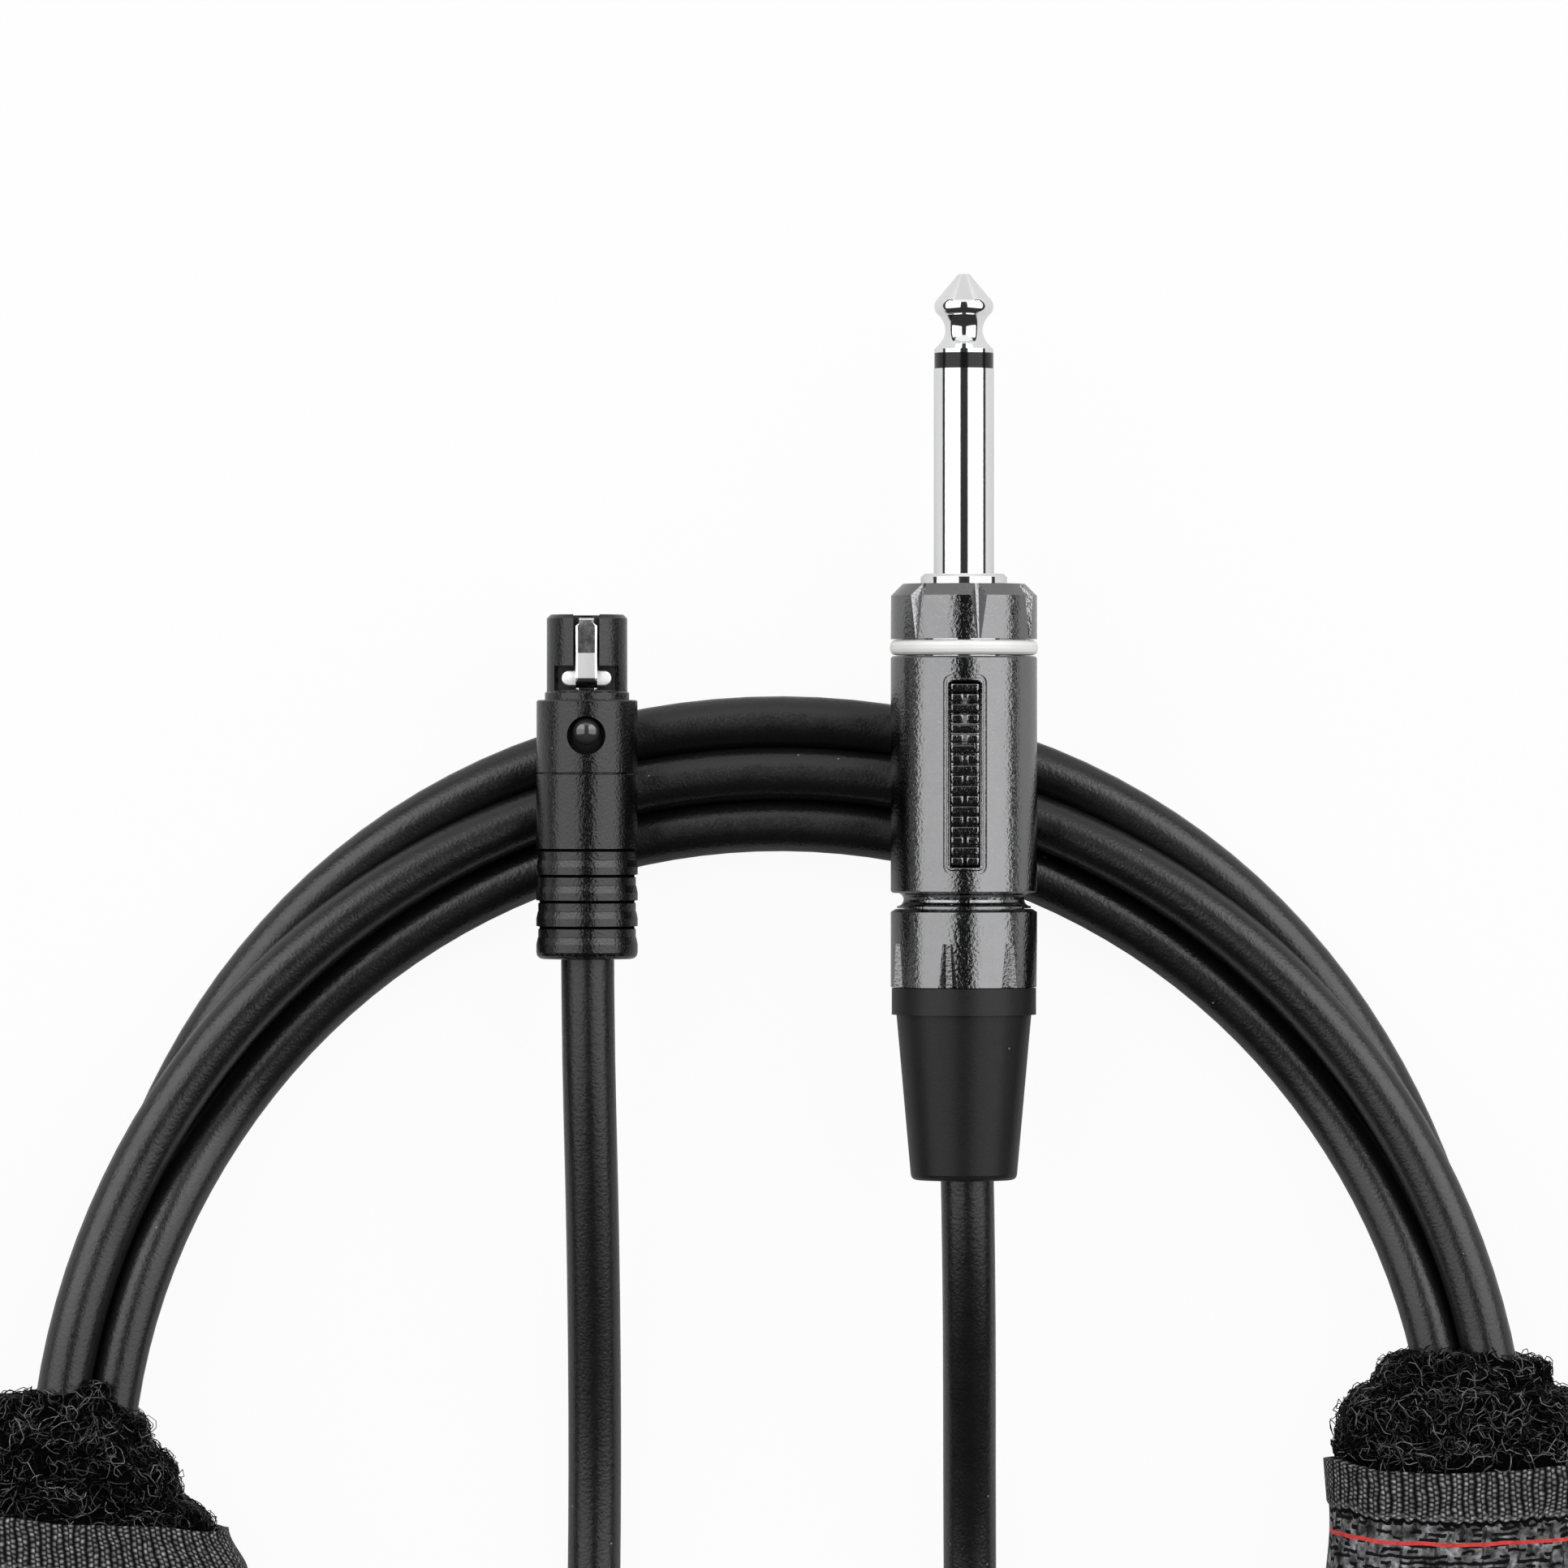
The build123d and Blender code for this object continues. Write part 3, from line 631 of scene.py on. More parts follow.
# %% Outlines for small parts
def pulled_circle(shape, radius, half_w, half_l, segments=24):
    """A face like a rectangle with round corners: a circle whose quarters are pulled apart."""
    made = bmesh.ops.create_circle(shape, segments=segments, radius=radius * MM, cap_ends=True)["verts"]
    bmesh.ops.rotate(shape, verts=made, matrix=Matrix.Rotation(pi / segments, 3, "Z"))
    for vert in made:
        vert.co.x += (half_w - radius) * MM * (1 if vert.co.x > 0 else -1)
        vert.co.y += (half_l - radius) * MM * (1 if vert.co.y > 0 else -1)
    return [face for face in shape.faces if face.verts[0] in made]


def raised_by(shape, faces, height):
    """Extrudes faces straight up and gives back the new top faces."""
    made = bmesh.ops.extrude_face_region(shape, geom=faces)["geom"]
    verts = [part for part in made if isinstance(part, bmesh.types.BMVert)]
    bmesh.ops.translate(shape, verts=verts, vec=(0, 0, height * MM))
    return [part for part in made if isinstance(part, bmesh.types.BMFace)]


def rounded_rims(shape, faces, width, segments=3):
    """Bevels the sharp edges round some faces."""
    rims = dict.fromkeys(edge for face in faces for edge in face.edges if edge.calc_face_angle(0) > 1.0)
    bmesh.ops.bevel(shape, geom=list(rims), offset=width * MM, offset_type="OFFSET", segments=segments,
                    profile=0.5, affect="EDGES", clamp_overlap=True, material=-1)


# %% The panel
PLUG_AXIS = Vector((19.4, 79.688, 15.2)) * MM
PANEL_FROM, PANEL_TO, PANEL_W = 42.2, 63.1, 4.6
PANEL_FLOOR_R = 7.4
FRAME_IN, FRAME_W, FRAME_H, FRAME_ROUND, FRAME_CORNER = 0.34, 0.34, 0.25, 0.14, 0.6
PLATE_UP, PLATE_SWELL, PLATE_THICK, PLATE_CORNER = 0.01, 40, 0.15, 0.26
BAR_COUNT, BARS_SHORT_BY = 18, 0.3
BAR_L, BAR_W, BAR_H, BAR_ROUND, BAR_GAP = 0.84, 2.9, 0.17, 0.15, 0.35
CREASES, CREASE_STEP = 3, 0.6
HAIR = 0.001


def add_bars(shape, pitch):
    """A ladder of raised bars, every second one whole and the others split."""
    half = (BAR_W - BAR_GAP) / 2
    side = (half + BAR_GAP) / 2
    for number in range(BAR_COUNT):
        along = (number - (BAR_COUNT - 1) / 2) * pitch
        for middle, width in [(0, BAR_W)] if number % 2 else [(-side, half), (side, half)]:
            made = bmesh.ops.create_grid(shape, x_segments=1, y_segments=1, size=0.5)["verts"]
            bmesh.ops.scale(shape, verts=made, vec=(width * MM, BAR_L * MM, 1))
            bmesh.ops.translate(shape, verts=made, vec=(middle * MM, along * MM, 0))
            rounded_rims(shape, raised_by(shape, made[0].link_faces[:], BAR_H), BAR_ROUND, 4)


def panel():
    """The frame, the plate and the bars, flat at first, with the panel's length along Y."""
    shape = bmesh.new()
    half_w, half_l = PANEL_W / 2 - FRAME_IN, (PANEL_TO - PANEL_FROM) / 2 - FRAME_IN
    outline = pulled_circle(shape, FRAME_CORNER, half_w, half_l)
    bmesh.ops.inset_region(shape, faces=outline, thickness=FRAME_W * MM, depth=0,
                           use_boundary=True, use_even_offset=True)
    middle = max(shape.faces, key=lambda part: part.calc_area())
    bmesh.ops.delete(shape, geom=[middle], context="FACES")
    rounded_rims(shape, raised_by(shape, shape.faces[:], FRAME_H), FRAME_ROUND)
    in_w, in_l = half_w - FRAME_W - HAIR, half_l - FRAME_W - HAIR
    raised_by(shape, pulled_circle(shape, PLATE_CORNER, in_w, in_l), -PLATE_THICK)
    add_bars(shape, (2 * (half_l - FRAME_W) - BARS_SHORT_BY) / BAR_COUNT)
    face_outward(shape)
    for number in range(-CREASES, CREASES + 1):
        bmesh.ops.bisect_plane(shape, geom=shape.verts[:] + shape.edges[:] + shape.faces[:],
                               plane_co=(number * CREASE_STEP * MM, 0, 0), plane_no=(1, 0, 0))
    middle = PLUG_AXIS.y - (PANEL_FROM + PANEL_TO) / 2 * MM
    for vert in shape.verts:
        radius = PANEL_FLOOR_R * MM + vert.co.z
        turn = vert.co.x / (PANEL_FLOOR_R * MM)
        side, up = radius * sin(turn), radius * cos(turn)
        if abs(vert.co.x) < (in_w + HAIR / 2) * MM and abs(vert.co.y) < (in_l + HAIR / 2) * MM:
            side, up = vert.co.x, radius + PLATE_UP * MM - vert.co.x ** 2 / (2 * PLATE_SWELL * MM)
        vert.co = (PLUG_AXIS.x + side, middle + vert.co.y, PLUG_AXIS.z + up)
    return shape


finished(panel(), "barrel_panel", "black_chrome")

# %% [markdown]
# ## The latch
# The latch is one strip of spring steel: a flat top with its edges turned down, a
# narrow nose, a foot that steps down into the shell and a crossbar that shows at both
# sides of the window. A grid is moved row by row to the strip's profile and then
# given its thickness. The crossbar starts as a circle pulled out into a slot shape.

# %% The strip and the crossbar
LATCH_T = 0.3
# Along the strip: distance behind the front, height over the axis, half the width.
LATCH_ROWS = [
    (0.40, 3.74, 0.80), (0.46, 3.93, 0.81), (0.62, 4.05, 0.82), (0.90, 4.07, 0.84), (1.24, 4.06, 1.16),
    (2.60, 4.09, 1.15), (4.02, 4.13, 1.14), (4.10, 4.12, 1.14), (5.40, 4.10, 1.15), (6.70, 4.08, 1.17),
    (6.90, 4.02, 1.17), (7.05, 3.90, 1.16), (7.60, 3.24, 1.13), (7.75, 3.13, 1.12), (8.02, 3.10, 1.06),
    (9.20, 3.10, 1.00), (13.35, 3.10, 0.95),
]
# Across the strip: share of the half width, and how far below the top.
LATCH_ACROSS = [(-1, 0.20), (-0.97, 0.13), (-0.80, 0.0), (-0.75, 0.05), (-0.70, 0.05), (0, 0.03),
                (0.70, 0.05), (0.75, 0.05), (0.80, 0.0), (0.97, 0.13), (1, 0.20)]
FOOT_FROM, FOOT_DROP = 7.0, 0.3
CROSS_AT, CROSS_LOW, CROSS_THICK, CROSS_ROUND = 6.72, 2.62, 0.5, 0.2
CROSS_W, CROSS_L = 5.25, 1.66


def on_socket(across, behind, height):
    """A place in metres from millimetres across the socket, behind its front and over its axis."""
    return SOCKET_AXIS + Vector((across, -behind, height)) * MM


def latch_strip():
    shape = bmesh.new()
    rows, columns = len(LATCH_ROWS) - 1, len(LATCH_ACROSS) - 1
    bmesh.ops.create_grid(shape, x_segments=columns, y_segments=rows, size=1)
    for vert in shape.verts:
        share, drop = LATCH_ACROSS[round((vert.co.x + 1) / 2 * columns)]
        behind, height, half = LATCH_ROWS[round((1 - vert.co.y) / 2 * rows)]
        vert.co = on_socket(share * half, behind, height - drop * (1 if behind < FOOT_FROM else FOOT_DROP))
    face_outward(shape)
    if sum(face.normal.z for face in shape.faces) < 0:
        bmesh.ops.reverse_faces(shape, faces=shape.faces)
    bmesh.ops.solidify(shape, geom=shape.faces[:], thickness=LATCH_T * MM)
    face_outward(shape)
    return shape


def crossbar():
    shape = bmesh.new()
    outline = pulled_circle(shape, CROSS_L / 2, CROSS_W / 2, CROSS_L / 2 + HAIR, 32)
    rounded_rims(shape, raised_by(shape, outline, CROSS_THICK), CROSS_ROUND)
    face_outward(shape)
    bmesh.ops.translate(shape, verts=shape.verts, vec=on_socket(0, CROSS_AT, CROSS_LOW))
    return shape


SATIN_FROM, SATIN_TO = 4.07, 6.75
SATIN_ROUGH, SATIN_GREY = 0.42, (0.8, 0.8, 0.8, 1)


def satin_rear(name):
    """The rear half of the strip's flat is blasted, and looks lighter."""
    tree, surface = surface_of(name)
    middle = SOCKET_AXIS.y - (SATIN_FROM + SATIN_TO) / 2 * MM
    rear = abs(split_vector(object_point(tree))[1] - middle) < (SATIN_TO - SATIN_FROM) / 2 * MM
    feed(surface["Roughness"], mixed(rear, fed_by(surface["Roughness"]), SATIN_ROUGH, "VALUE"))
    feed(surface["Base Color"], mixed(rear, fed_by(surface["Base Color"]), SATIN_GREY))


satin_rear("latch_steel")
latch = finished(latch_strip(), "latch_strip", "latch_steel", body="latch")
latch.data.polygons.foreach_set("use_smooth", [False] * len(latch.data.polygons))
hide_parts("xlr_latch")
finished(crossbar(), "latch_bar", "latch_steel", body="latch", look="latch_satin")

# %% [markdown]
# ## The button
# The release button is one smooth glossy dome with a skirt that runs in the hole. Its
# profile is a short chain of edges, spun once round the button's own axis. The dome
# then moves a little forward, as it stands nearer the hole's front.

# %% The dome
BUTTON_AT, BUTTON_TOP = 12.75, 5.175
DOME_R, DOME_H, DOME_STEPS = 1.46, 1.15, 9
DOME_FOOT, DOME_FORWARD = 3.95, 0.45
# Below the dome: radius, height over the socket's axis.
SKIRT = [(DOME_R, 4.0), (1.65, 3.9), (1.65, 3.75), (2.2, 3.75), (2.2, 3.4), (0.5, 3.4), (0.5, 3.2), (0, 3.2)]


def button():
    shape = bmesh.new()
    profile = []
    for number in range(DOME_STEPS):
        turn = pi / 2 * number / (DOME_STEPS - 1)
        profile.append((DOME_R * sin(turn), BUTTON_TOP - DOME_H * (1 - cos(turn))))
    verts = [shape.verts.new(on_socket(radius, BUTTON_AT, height)) for radius, height in profile + SKIRT]
    edges = [shape.edges.new(pair) for pair in zip(verts, verts[1:])]
    bmesh.ops.spin(shape, geom=verts + edges, cent=on_socket(0, BUTTON_AT, 0), axis=(0, 0, 1), angle=tau,
                   steps=48, use_merge=True)
    bmesh.ops.remove_doubles(shape, verts=shape.verts, dist=0.001 * MM)
    high = [vert for vert in shape.verts if vert.co.z > on_socket(0, 0, DOME_FOOT).z]
    bmesh.ops.translate(shape, verts=high, vec=(0, DOME_FORWARD * MM, 0))
    face_outward(shape)
    return shape


dome = finished(button(), "button_dome", "button_black", body="button")
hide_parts("xlr_button")

# %% [markdown]
# ## The ties
# Each tie is a hook-and-loop strap wound round the coil: a fuzzy layer inside, seen
# in front of the strap as a lumpy roll, and woven webbing over it. Both are tubes
# bent along the coil, so each starts as a circle that is spun about the coil's
# middle. Tables then say how far each row reaches and where its front edge is, as a
# strap wound by hand is never quite square to the coil.

# %% A tube round the bundle
COIL_R = 73.7
PARALLEL = 0.8


def coil_length(start, stop):
    """Millimetres along the coil between two angles."""
    return abs(stop - start) * pi / 180 * COIL_R


def table(rows, at):
    """A value read off rows of (place, value), eased from one row to the next."""
    for (low, first), (high, last) in zip(rows, rows[1:]):
        if at < high:
            return first + (last - first) * eased(at, low, high - low)
    return rows[-1][1]


def boxy(value, power):
    """Cosine or sine of an oval with fuller corners."""
    return abs(value) ** power * (1 if value >= 0 else -1)


def tube_round_coil(start, stop, rim, columns, rows, form):
    """A spun tube and its girth. form(along, turn) gives (side, height, shift) in millimetres.
    Rows stay nearly parallel to the one at the rim's angle, as on a strap that is cut straight."""
    shape = bmesh.new()
    bmesh.ops.create_circle(shape, segments=columns, radius=1)
    bmesh.ops.rotate(shape, verts=shape.verts, matrix=Matrix.Rotation(pi / 2, 3, "X"))
    bmesh.ops.translate(shape, verts=shape.verts, vec=(COIL_R, 0, 0))
    bmesh.ops.rotate(shape, verts=shape.verts, matrix=Matrix.Rotation(radians(start), 3, "Z"))
    bmesh.ops.spin(shape, geom=shape.verts[:] + shape.edges[:], axis=(0, 0, 1),
                   angle=radians(stop - start), steps=rows)
    place = {}
    for vert in shape.verts:
        turned = Matrix.Rotation(-radians(start), 3, "Z") @ vert.co
        along = abs(atan2(turned.y, turned.x)) * COIL_R
        turn = atan2(vert.co.z, hypot(vert.co.x, vert.co.y) - COIL_R)
        place[vert] = (along, turn, round((turn + pi / 2) % tau / tau * columns) % columns)
    middle = coil_length(start, stop) / 2
    rounds = [Vector(form(middle, number / columns * tau - pi / 2)[:2]) for number in range(columns + 1)]
    girths = [0.0]
    for first, last in zip(rounds, rounds[1:]):
        girths.append(girths[-1] + (last - first).length)
    chart = shape.loops.layers.uv.new("strap")
    for face in shape.faces:
        numbers = [place[loop.vert][2] for loop in face.loops]
        closing = max(numbers) - min(numbers) > 1
        for loop, number in zip(face.loops, numbers):
            loop[chart].uv = (girths[columns if closing and number == 0 else number], place[loop.vert][0])
    way = 1 if stop > start else -1
    for vert, (along, turn, number) in place.items():
        side, height, shift = form(along, turn)
        shift -= side * (along - coil_length(start, rim)) / COIL_R * PARALLEL
        angle = radians(start) + way * (along + shift) / COIL_R
        reach = COIL_R + side
        vert.co = (reach * cos(angle) * MM, (reach * sin(angle) + COIL_Y) * MM, height * MM)
    face_outward(shape)
    return shape, girths[-1]


# %% [markdown]
# ## The fuzzy layer
# The pile is a felt of looped fibres. Its body is a near-black lumpy roll that only
# shows between the fibres. The look comes from the fibres themselves: each walks over
# the roll with a curl of its own, rises off it and goes back in. Each fibre's colour
# holds a painted highlight of its own: a few are painted light and most stay dark.

# %% Body of the pile
PILE_LOW = 1.7
PILE_COLUMNS, PILE_ROW = 96, 0.4


def pile_form(tie):
    """The pile's outline from a tie's tables, with lumps of two sizes."""
    def form(along, turn):
        spot = Vector((along * 0.35, cos(turn) * 3 + tie["wobble"], sin(turn) * 3))
        flat, up = boxy(cos(turn), 0.62), boxy(sin(turn), 0.72)
        reach = table(tie["outer" if flat > 0 else "inner"], along)
        front = 1 - eased(along, 2.0, 13.0)
        shift = table(tie["front"], reach * flat) * front + 0.6 * noise.noise(spot * 1.7)
        there = along + shift
        reach = table(tie["outer" if flat > 0 else "inner"], there)
        lump = noise.noise(spot * 2.6) * 0.55 + noise.noise(spot * 7) * 0.3
        top = table(tie["top"], there) + lump
        return (reach + lump) * flat, (PILE_LOW + top) / 2 + (top - PILE_LOW) / 2 * up, shift
    return form


def pile_body(tie):
    """The roll, with a fan of triangles over each end."""
    start, stop = tie["pile"]
    rows = round(coil_length(start, stop) / PILE_ROW)
    shape = tube_round_coil(start, stop, tie["rim"][0], PILE_COLUMNS, rows, pile_form(tie))[0]
    bmesh.ops.holes_fill(shape, edges=[edge for edge in shape.edges if edge.is_boundary], sides=0)
    bmesh.ops.poke(shape, faces=[face for face in shape.faces if len(face.verts) > 4])
    face_outward(shape)
    return shape


# %% Fibres of the pile
FIBRE_COUNT, FIBRE_POINTS, FIBRE_R = 3300, 7, 0.055
# Fibres start above a height, and up to some degrees past the webbing's rim and the roll's end.
START_HEIGHT, PAST_RIM, PAST_END = 2.2, 1.2, 1.5
END_SPAN, END_SHARE = 3, 0.35
CURL, WAVER = 0.42, 0.3
STEP_LEAST, STEP_MOST = 0.3, 0.75
RISE, LEAN = 0.42, 0.25
# How rarely a fibre gets a bright painted highlight in its colour.
GLINT_POWER = 5


def fibre_starts(tie, mesh):
    """The faces in front of the webbing and round the roll's end, and a weight for each."""
    start, stop = tie["pile"]
    faces, weights = [], []
    for face in mesh.polygons:
        middle = face.center
        turn = degrees(atan2(middle.y / MM - COIL_Y, middle.x / MM))
        past_rim = abs((turn - start + 180) % 360 - 180) - abs(tie["rim"][0] - start)
        to_end = abs((turn - stop + 180) % 360 - 180)
        if middle.z > START_HEIGHT * MM and (past_rim < PAST_RIM or to_end < PAST_END):
            faces.append(face)
            weights.append(face.area * (END_SHARE if to_end < END_SPAN else 1.0))
    return faces, weights


def fibre_walk(draw, tree, face):
    """One fibre's points, in millimetres: it leaves the roll, curls and goes back in."""
    point, normal = face.center, face.normal
    heading = normal.cross(Vector([draw.uniform(-1, 1) for axis in range(3)])).normalized()
    curl = draw.gauss(0, CURL)
    step = draw.uniform(STEP_LEAST, STEP_MOST) * MM
    rise = abs(draw.gauss(0, RISE)) * MM
    lean = draw.uniform(-LEAN, LEAN) * MM
    for number in range(FIBRE_POINTS):
        part = number / (FIBRE_POINTS - 1)
        yield (point + normal * (rise * sin(pi * part) + lean * (part - 0.5))) / MM
        heading.rotate(Matrix.Rotation(curl + draw.gauss(0, WAVER), 3, normal))
        point, normal = tree.find_nearest(point + heading * step)[:2]
        heading = (heading - heading.dot(normal) * normal).normalized()


def fibres(name, tie, surface):
    """Curly loops over a pile's mesh. They are curves in millimetres until they are a mesh,
    since points that are very close together in metres would be left out."""
    draw = random.Random(tie["seed"])
    tree = BVHTree.FromPolygons([vert.co for vert in surface.vertices],
                                [face.vertices for face in surface.polygons])
    faces, weights = fibre_starts(tie, surface)
    data = bpy.data.curves.new(name, "CURVE")
    data.dimensions = "3D"
    data.bevel_depth = FIBRE_R
    data.bevel_resolution = 0
    painted_glints = []
    for face in draw.choices(faces, weights=weights, k=FIBRE_COUNT):
        spline = data.splines.new("POLY")
        spline.points.add(FIBRE_POINTS - 1)
        for number, place in enumerate(fibre_walk(draw, tree, face)):
            spline.points[number].co = (*place, 1)
        # This fibre's painted highlight: most are near 0, a few near 1.
        painted_glints.append(draw.random() ** GLINT_POWER)
    curve = placed(name + "_curve", data)
    mesh = bpy.data.meshes.new_from_object(curve)
    bpy.data.objects.remove(curve)
    mesh.transform(Matrix.Scale(MM, 4))
    mesh.name = name
    each = len(mesh.polygons) // FIBRE_COUNT
    layer = mesh.attributes.new("shade", "FLOAT", "FACE")
    layer.data.foreach_set("value", [shade for shade in painted_glints for number in range(each)])
    dressed(mesh, name, "tie_pile", look="pile_fibre")
    print(name, "faces of one fibre", each)


def fibre_finish():
    """Dark nylon hair. Each fibre's painted highlight comes from an attribute of the mesh, and noise varies
    it along the fibre.
    """
    tree, surface = surface_of("pile_fibre")
    own = add_node(tree, "Attribute")
    own.attribute_name = "shade"
    along = noise_value(object_point(tree), 1200, 1.0)
    # Painted highlight: the fibre's attribute, varied along it by noise, lifts its colour from near black to
    # grey.
    shade = Value(own.outputs["Fac"]) * (along * 1.8)
    feed(surface["Base Color"], mixed(shade, (0.0012, 0.0012, 0.0013, 1), (0.2, 0.2, 0.205, 1)))
    feed(surface["Roughness"], between(along, 0.5, 0.34))
    feed(surface["Specular IOR Level"], 0.04)


# %% [markdown]
# ## The webbing
# Woven nylon shows its yarns. Across a firm edge they stand up as columns, each a
# plait of two rows of small bumps. On the strap's face longer yarns float over each
# other with short gaps between them. The yarns are one grey nylon; their colour holds
# painted light: painted highlights on the bumps and painted shade in the hollows and
# gaps. The weave follows the strap, so it reads the strap's own UV map, which is in
# millimetres: the first number goes once round, the second along the coil.

# %% The weave
def strap_place(tree):
    """How far round the strap and how far along it a point lies, in millimetres."""
    chart = add_node(tree, "UVMap")
    chart.uv_map = "strap"
    return split_vector(Value(chart.outputs[0]))[:2]


def hump(place, pitch=1):
    """0 at every whole pitch and 1 half way between, like a row of yarns."""
    return abs(math_node("SINE", place * (pi / pitch)))


def make_weave():
    """Relief of plaited yarns, and their painted shading: bumps painted lighter and hollows darker. Pitch is
    a column's width and Row a bump's length, in mm.
    """
    group, given, out = new_group("weave", {"Pitch": 1.0, "Row": 0.52, "Wander": 0.1}, ["Height", "Shade"])
    point = object_point(group)
    across, along = strap_place(group)
    aside = (noise_value(point, 420) - 0.5) * given["Wander"]
    column = (across + aside) / given["Pitch"]
    plait = column * 2
    shifted = math_node("MODULO", math_node("FLOOR", plait), 2.0) * 0.5
    row = (along - aside) / given["Row"] + shifted
    height = hump(column) ** 0.6 * hump(plait) ** 0.5 * (hump(row) * 0.7 + 0.3)
    yarn = (noise_value(point, 1300, 3.0) + 0.5) ** 4
    feed(out["Height"], height)
    # Painted highlight and shade: the higher a bump, the lighter its colour, times a random tone of each
    # yarn.
    feed(out["Shade"], height ** 2.2 * (yarn * 0.8))
    return group


def make_floats():
    """Relief of long yarns that float over the strap's face, and their colour with painted light: painted
    shade in short gaps between them and broad patches painted lighter.
    """
    group, given, out = new_group("floats", {"Row": 0.62, "Column": 1.25}, ["Height", "Shade"])
    point = object_point(group)
    across, along = strap_place(group)
    drift = noise_value(point, 700, 3.0) - 0.5
    row = (along + drift) / given["Row"]
    column = (across + drift * 1.3) / given["Column"]

    def shaded_gap(place, width):
        return math_node("FRACT", place) < width

    def chance(seed, share):
        """1 in a share of the cells, drawn by a seed."""
        place = (math_node("FLOOR", column * 1.3 + seed), math_node("FLOOR", row), seed)
        cell = add_node(group, "CombineXYZ", enumerate(place))
        draw = add_node(group, "TexWhiteNoise", {"Vector": Value(cell.outputs[0])})
        return Value(draw.outputs["Value"]) < share

    # Painted shade: short gaps between the floats are made dark.
    across_shaded_gaps = shaded_gap(row, 0.55) * chance(0.37, 0.45)
    along_shaded_gaps = shaded_gap(column, 0.3) * chance(4.6, 0.6)
    solid = 1 - math_node("MAXIMUM", across_shaded_gaps, along_shaded_gaps * 0.75) * 0.97
    # Broad patches painted lighter, as where light falls, times a random tone of the threads.
    tone = noise_value(point, 620) ** 3 * (noise_value(point, 2200, 3.0) + 0.5) ** 3
    feed(out["Height"], solid * 0.8)
    feed(out["Shade"], solid * (tone * 2.2))
    return group


# %% The strap's finish
WEAVE, FLOATS = make_weave(), make_floats()
EDGE_L = 5.3
YARN_PITCH = 1.22
STRIPE_AT, STRIPE_HALF = 8.1, 0.26
# Half width of the painted shadow along the step; place and half width of the row of loops before it,
# painted light.
STEP_SHADOW_HALF, LOOP_AT, LOOP_HALF = 0.26, 0.5, 0.24
# The grey yarn's colour in painted shade and where it is painted lit.
YARN_PAINTED_SHADE, YARN_PAINTED_LIT = (0.002, 0.002, 0.0021, 1), (0.36, 0.36, 0.37, 1)
RED_DARK, RED_LIGHT = (0.19, 0.010, 0.010, 1), (0.78, 0.09, 0.08, 1)


def webbing_finish():
    """Grey woven nylon: a firm edge with a frilled step, the face of the strap and a thin red line. Its
    colour holds painted light: a painted shadow along the step, a painted highlight on the row of loops
    before it, and the weave's painted shading.
    """
    tree, surface = surface_of("tie_webbing")
    feed(surface["Specular IOR Level"], 0.05)
    point = object_point(tree)
    across, along = strap_place(tree)
    along = along + (noise_value(point, 260, 1.0) - 0.5) * 0.5
    edge = place_group(tree, WEAVE, Pitch=YARN_PITCH, Row=0.56, Wander=0.9)
    face = place_group(tree, FLOATS, Row=0.74, Column=YARN_PITCH)
    frill = (noise_value(point, 900, 1.0) - 0.5) * 1.3 - hump(across, YARN_PITCH) * 0.4
    past_edge = along - EDGE_L + frill
    on_face = past_edge > 0
    # Painted shadow along the step, and a painted highlight on the row of loops before it.
    step = abs(past_edge) < STEP_SHADOW_HALF
    loops = abs(past_edge + LOOP_AT) < LOOP_HALF
    height, shade = [
        (mixed(on_face, edge[label], face[label], "VALUE") + loops * 0.18) * (1 - step)
        for label in ("Height", "Shade")
    ]
    red = abs(along - STRIPE_AT) < STRIPE_HALF
    red_yarn = mixed(noise_value(point, 1500), RED_DARK, RED_LIGHT)
    feed(surface["Base Color"], mixed(red, mixed(shade, YARN_PAINTED_SHADE, YARN_PAINTED_LIT), red_yarn))
    feed(surface["Roughness"], between(height, 0.75, 0.5))
    add_relief(surface, math_node("MAXIMUM", height, red * 0.8), 0.28)


# %% The strap's shape
WEBBING_T = 1.1
WEBBING_COLUMNS, WEBBING_ROW = 160, 0.5


def webbing_form(tie):
    """An oval band: its front edge dips in the middle, and a low ridge marks the firm edge."""
    def form(along, turn):
        spot = Vector((along * 0.12, cos(turn) * 1.5 + tie["wobble"], sin(turn) * 1.5))
        grow = 0.25 * (1 - eased(along, EDGE_L - 0.3, 0.5)) + 0.3 * noise.noise(spot) - 0.25
        flat = boxy(cos(turn), 0.66)
        inward = table(tie["webbing_inner"], along) if flat < 0 else 15.8
        half_height = (18.5 + grow) / 2
        side = (inward + grow) * flat
        height = half_height + 0.05 + half_height * boxy(sin(turn), 0.7)
        back = 1 - eased(along, 2.0, 18.0)
        shift = table(tie["rim_shift"], side) + 0.35 * noise.noise(spot * 2)
        return side, height, shift * back
    return form


def walled(shape, thickness):
    """Gives an open tube walls: the same faces again further in, joined to it round both ends."""
    shape.normal_update()
    chart = shape.loops.layers.uv.active
    inner = {vert: shape.verts.new(vert.co - vert.normal * thickness) for vert in shape.verts[:]}
    walls = []
    for face in shape.faces:
        loops = face.loops[:][::-1]
        walls.append((loops, [inner[loop.vert] for loop in loops]))
    for edge in shape.edges:
        if edge.is_boundary:
            first = edge.link_loops[0]
            last = first.link_loop_next
            corners = (last.vert, first.vert, inner[first.vert], inner[last.vert])
            walls.append(((last, first, first, last), corners))
    for loops, corners in walls:
        face = shape.faces.new(corners)
        for loop, like in zip(face.loops, loops):
            loop[chart].uv = like[chart].uv
    face_outward(shape)


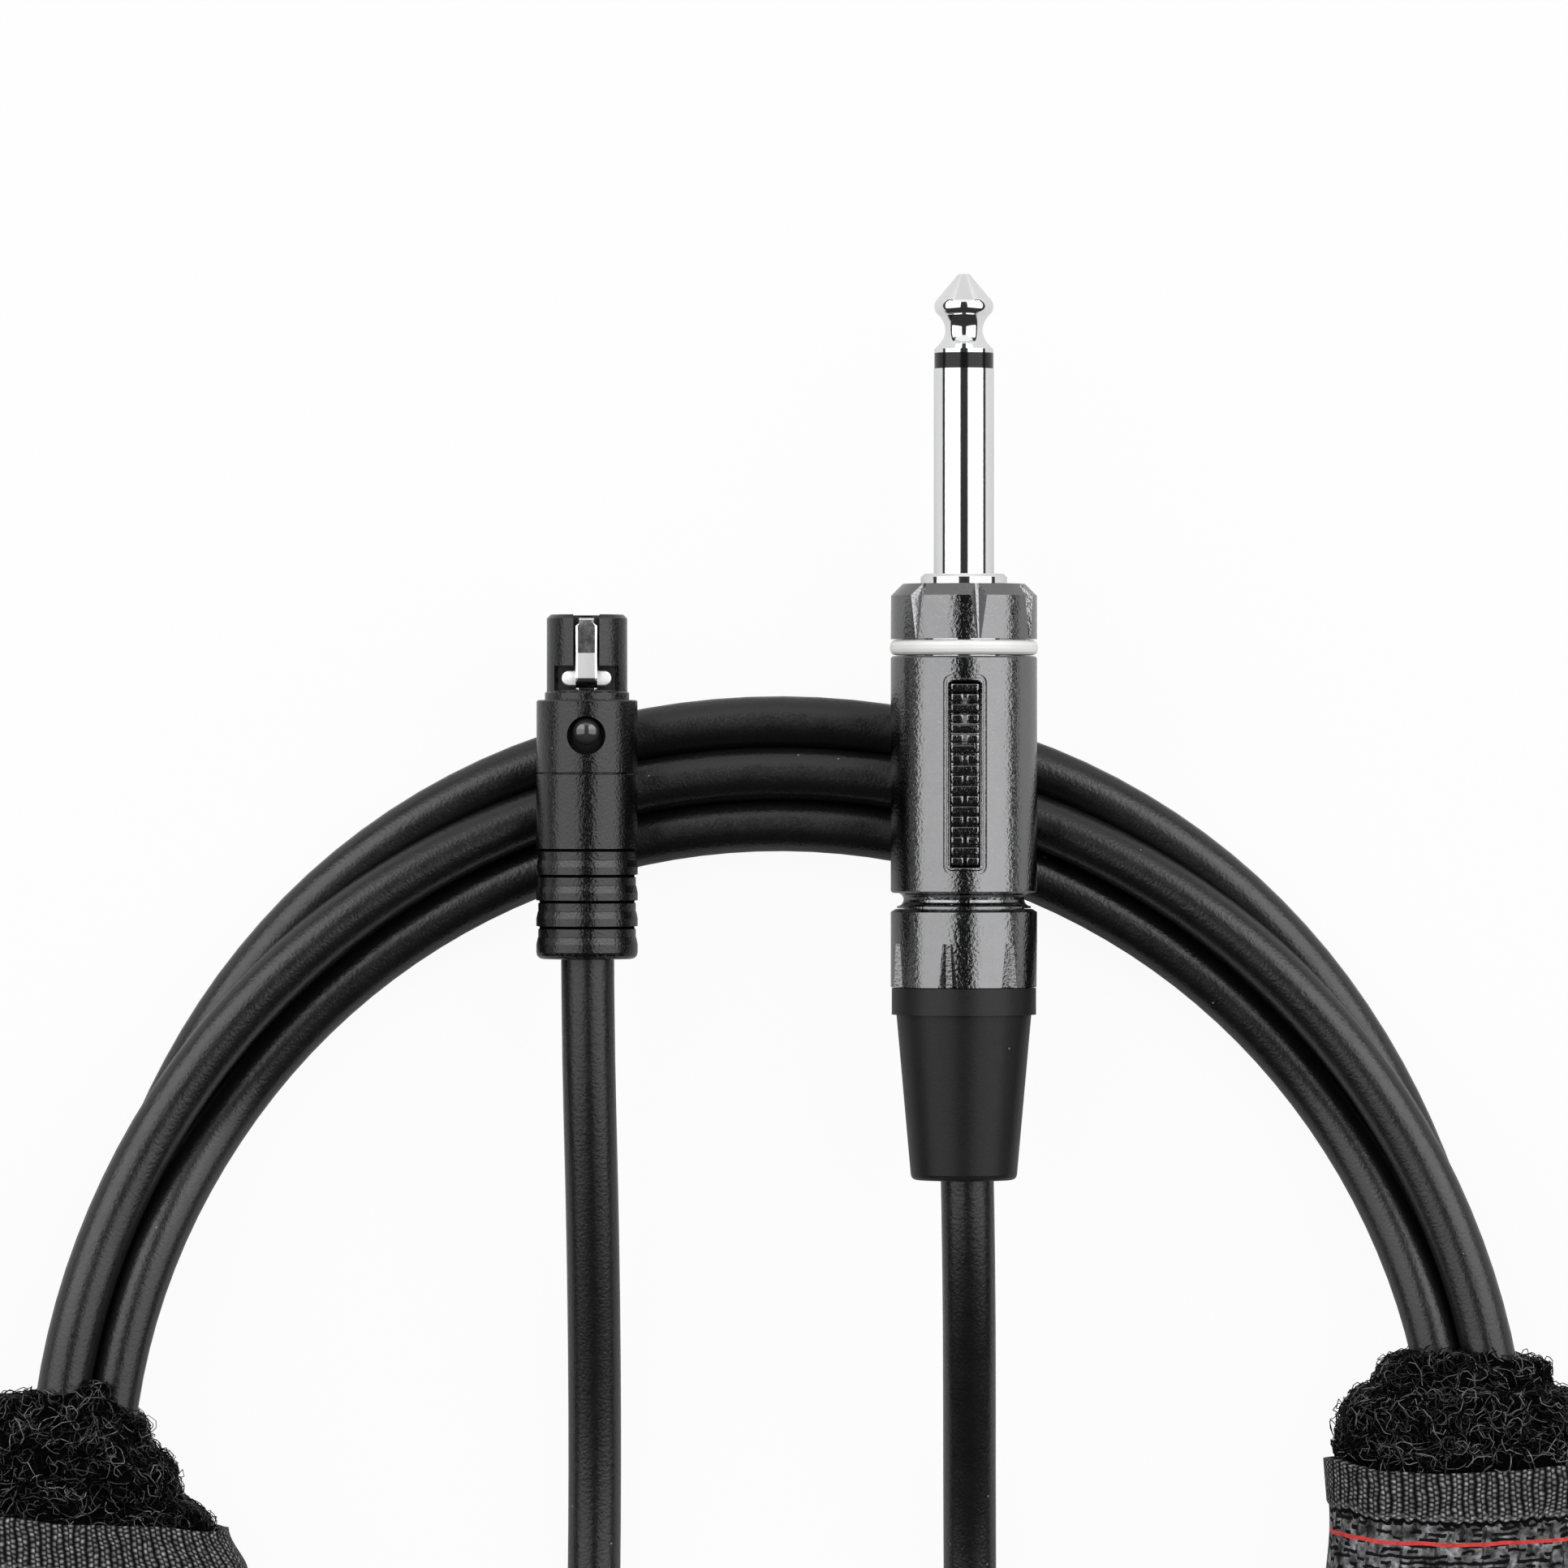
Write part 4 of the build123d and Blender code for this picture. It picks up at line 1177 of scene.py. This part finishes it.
def webbing(side, tie):
    name = side + "_webbing"
    start, stop = tie["rim"]
    length = coil_length(start, stop)
    rows = round(length / WEBBING_ROW)
    shape, around = tube_round_coil(start, stop, start, WEBBING_COLUMNS, rows, webbing_form(tie))
    walled(shape, WEBBING_T * MM)
    piece = finished(shape, name, "tie_webbing")
    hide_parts(side + "_tie_webbing")
    length * MM
    print(name, "strap", round(length, 1), "wide", round(around, 1), "round")


# %% Both ties
webbing_finish()
finish("tie_pile", (0.0012, 0.0012, 0.0013), 0.9, specular=0.02, grain=0.4, relief=0.25, tone=0.5)
fibre_finish()
# Each tie: the angles where its pile and its webbing start and end, two seeds, and tables
# of (place, value) in millimetres: the pile's reach on both sides, its top and its front
# edge, and the webbing's inner reach and front edge.
TIES = {
    "right": {
        "pile": (12.5, -19.0), "rim": (4.4, -19.6), "wobble": 3.1, "seed": 8,
        "inner": [(0, 6.4), (0.5, 7.8), (2.2, 9.2), (3.1, 9.3), (3.3, 11.7), (5.2, 13.3), (7.9, 13.9),
                  (9.6, 14.6), (11, 14.0)],
        "outer": [(0, 6.4), (0.8, 7.6), (2.6, 8.6), (5.2, 8.7), (5.4, 10.8), (6.8, 12.6), (9, 13.7),
                  (11, 14.0)],
        "top": [(0, 14.2), (0.8, 14.8), (4.4, 14.9), (4.7, 16.9), (8, 17.2), (11, 17.2)],
        "front": [(-9.2, 0.0), (1.4, 0.3), (7.0, 2.2), (9.0, 2.6)],
        "webbing_inner": [(0, 15.8), (30, 15.6)],
        "rim_shift": [(-15.8, 0.0), (-10, 1.6), (-4, 2.2), (4, 2.1), (15, 1.8)],
    },
    "left": {
        "pile": (170.3, 199.5), "rim": (181.2, 200.1), "wobble": 11.7, "seed": 7,
        "inner": [(0, 5.6), (5.3, 6.2), (6.6, 6.5), (7.7, 7.6), (8.9, 8.9), (10, 9.6), (11.4, 9.9),
                  (12.3, 9.7), (13.1, 11.1), (13.9, 12.5), (15.5, 13.6), (17, 13.9)],
        "outer": [(0, 8.6), (0.8, 9.8), (2.5, 10.6), (5, 11.2), (5.8, 12.2), (9, 12.8), (10, 13.5),
                  (14, 14.0)],
        "top": [(0, 14.6), (1.0, 15.7), (5, 16.2), (6, 16.8), (11, 17.0), (17, 17.0)],
        "front": [(-6.2, 5.3), (-4.4, 3.4), (-2.9, 1.5), (-1.5, 0.0), (9.6, 1.6)],
        "webbing_inner": [(0, 15.3), (5, 17.0), (30, 16.4)],
        "rim_shift": [(-15.3, 2.3), (-8, 1.1), (0, 0.4), (8.7, -0.3), (15, -0.3)],
    },
}
for side, tie in TIES.items():
    pile = finished(pile_body(tie), side + "_pile", "tie_pile")
    fibres(side + "_fibres", tie, pile.data)
    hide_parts(side + "_tie_pile")
    webbing(side, tie)
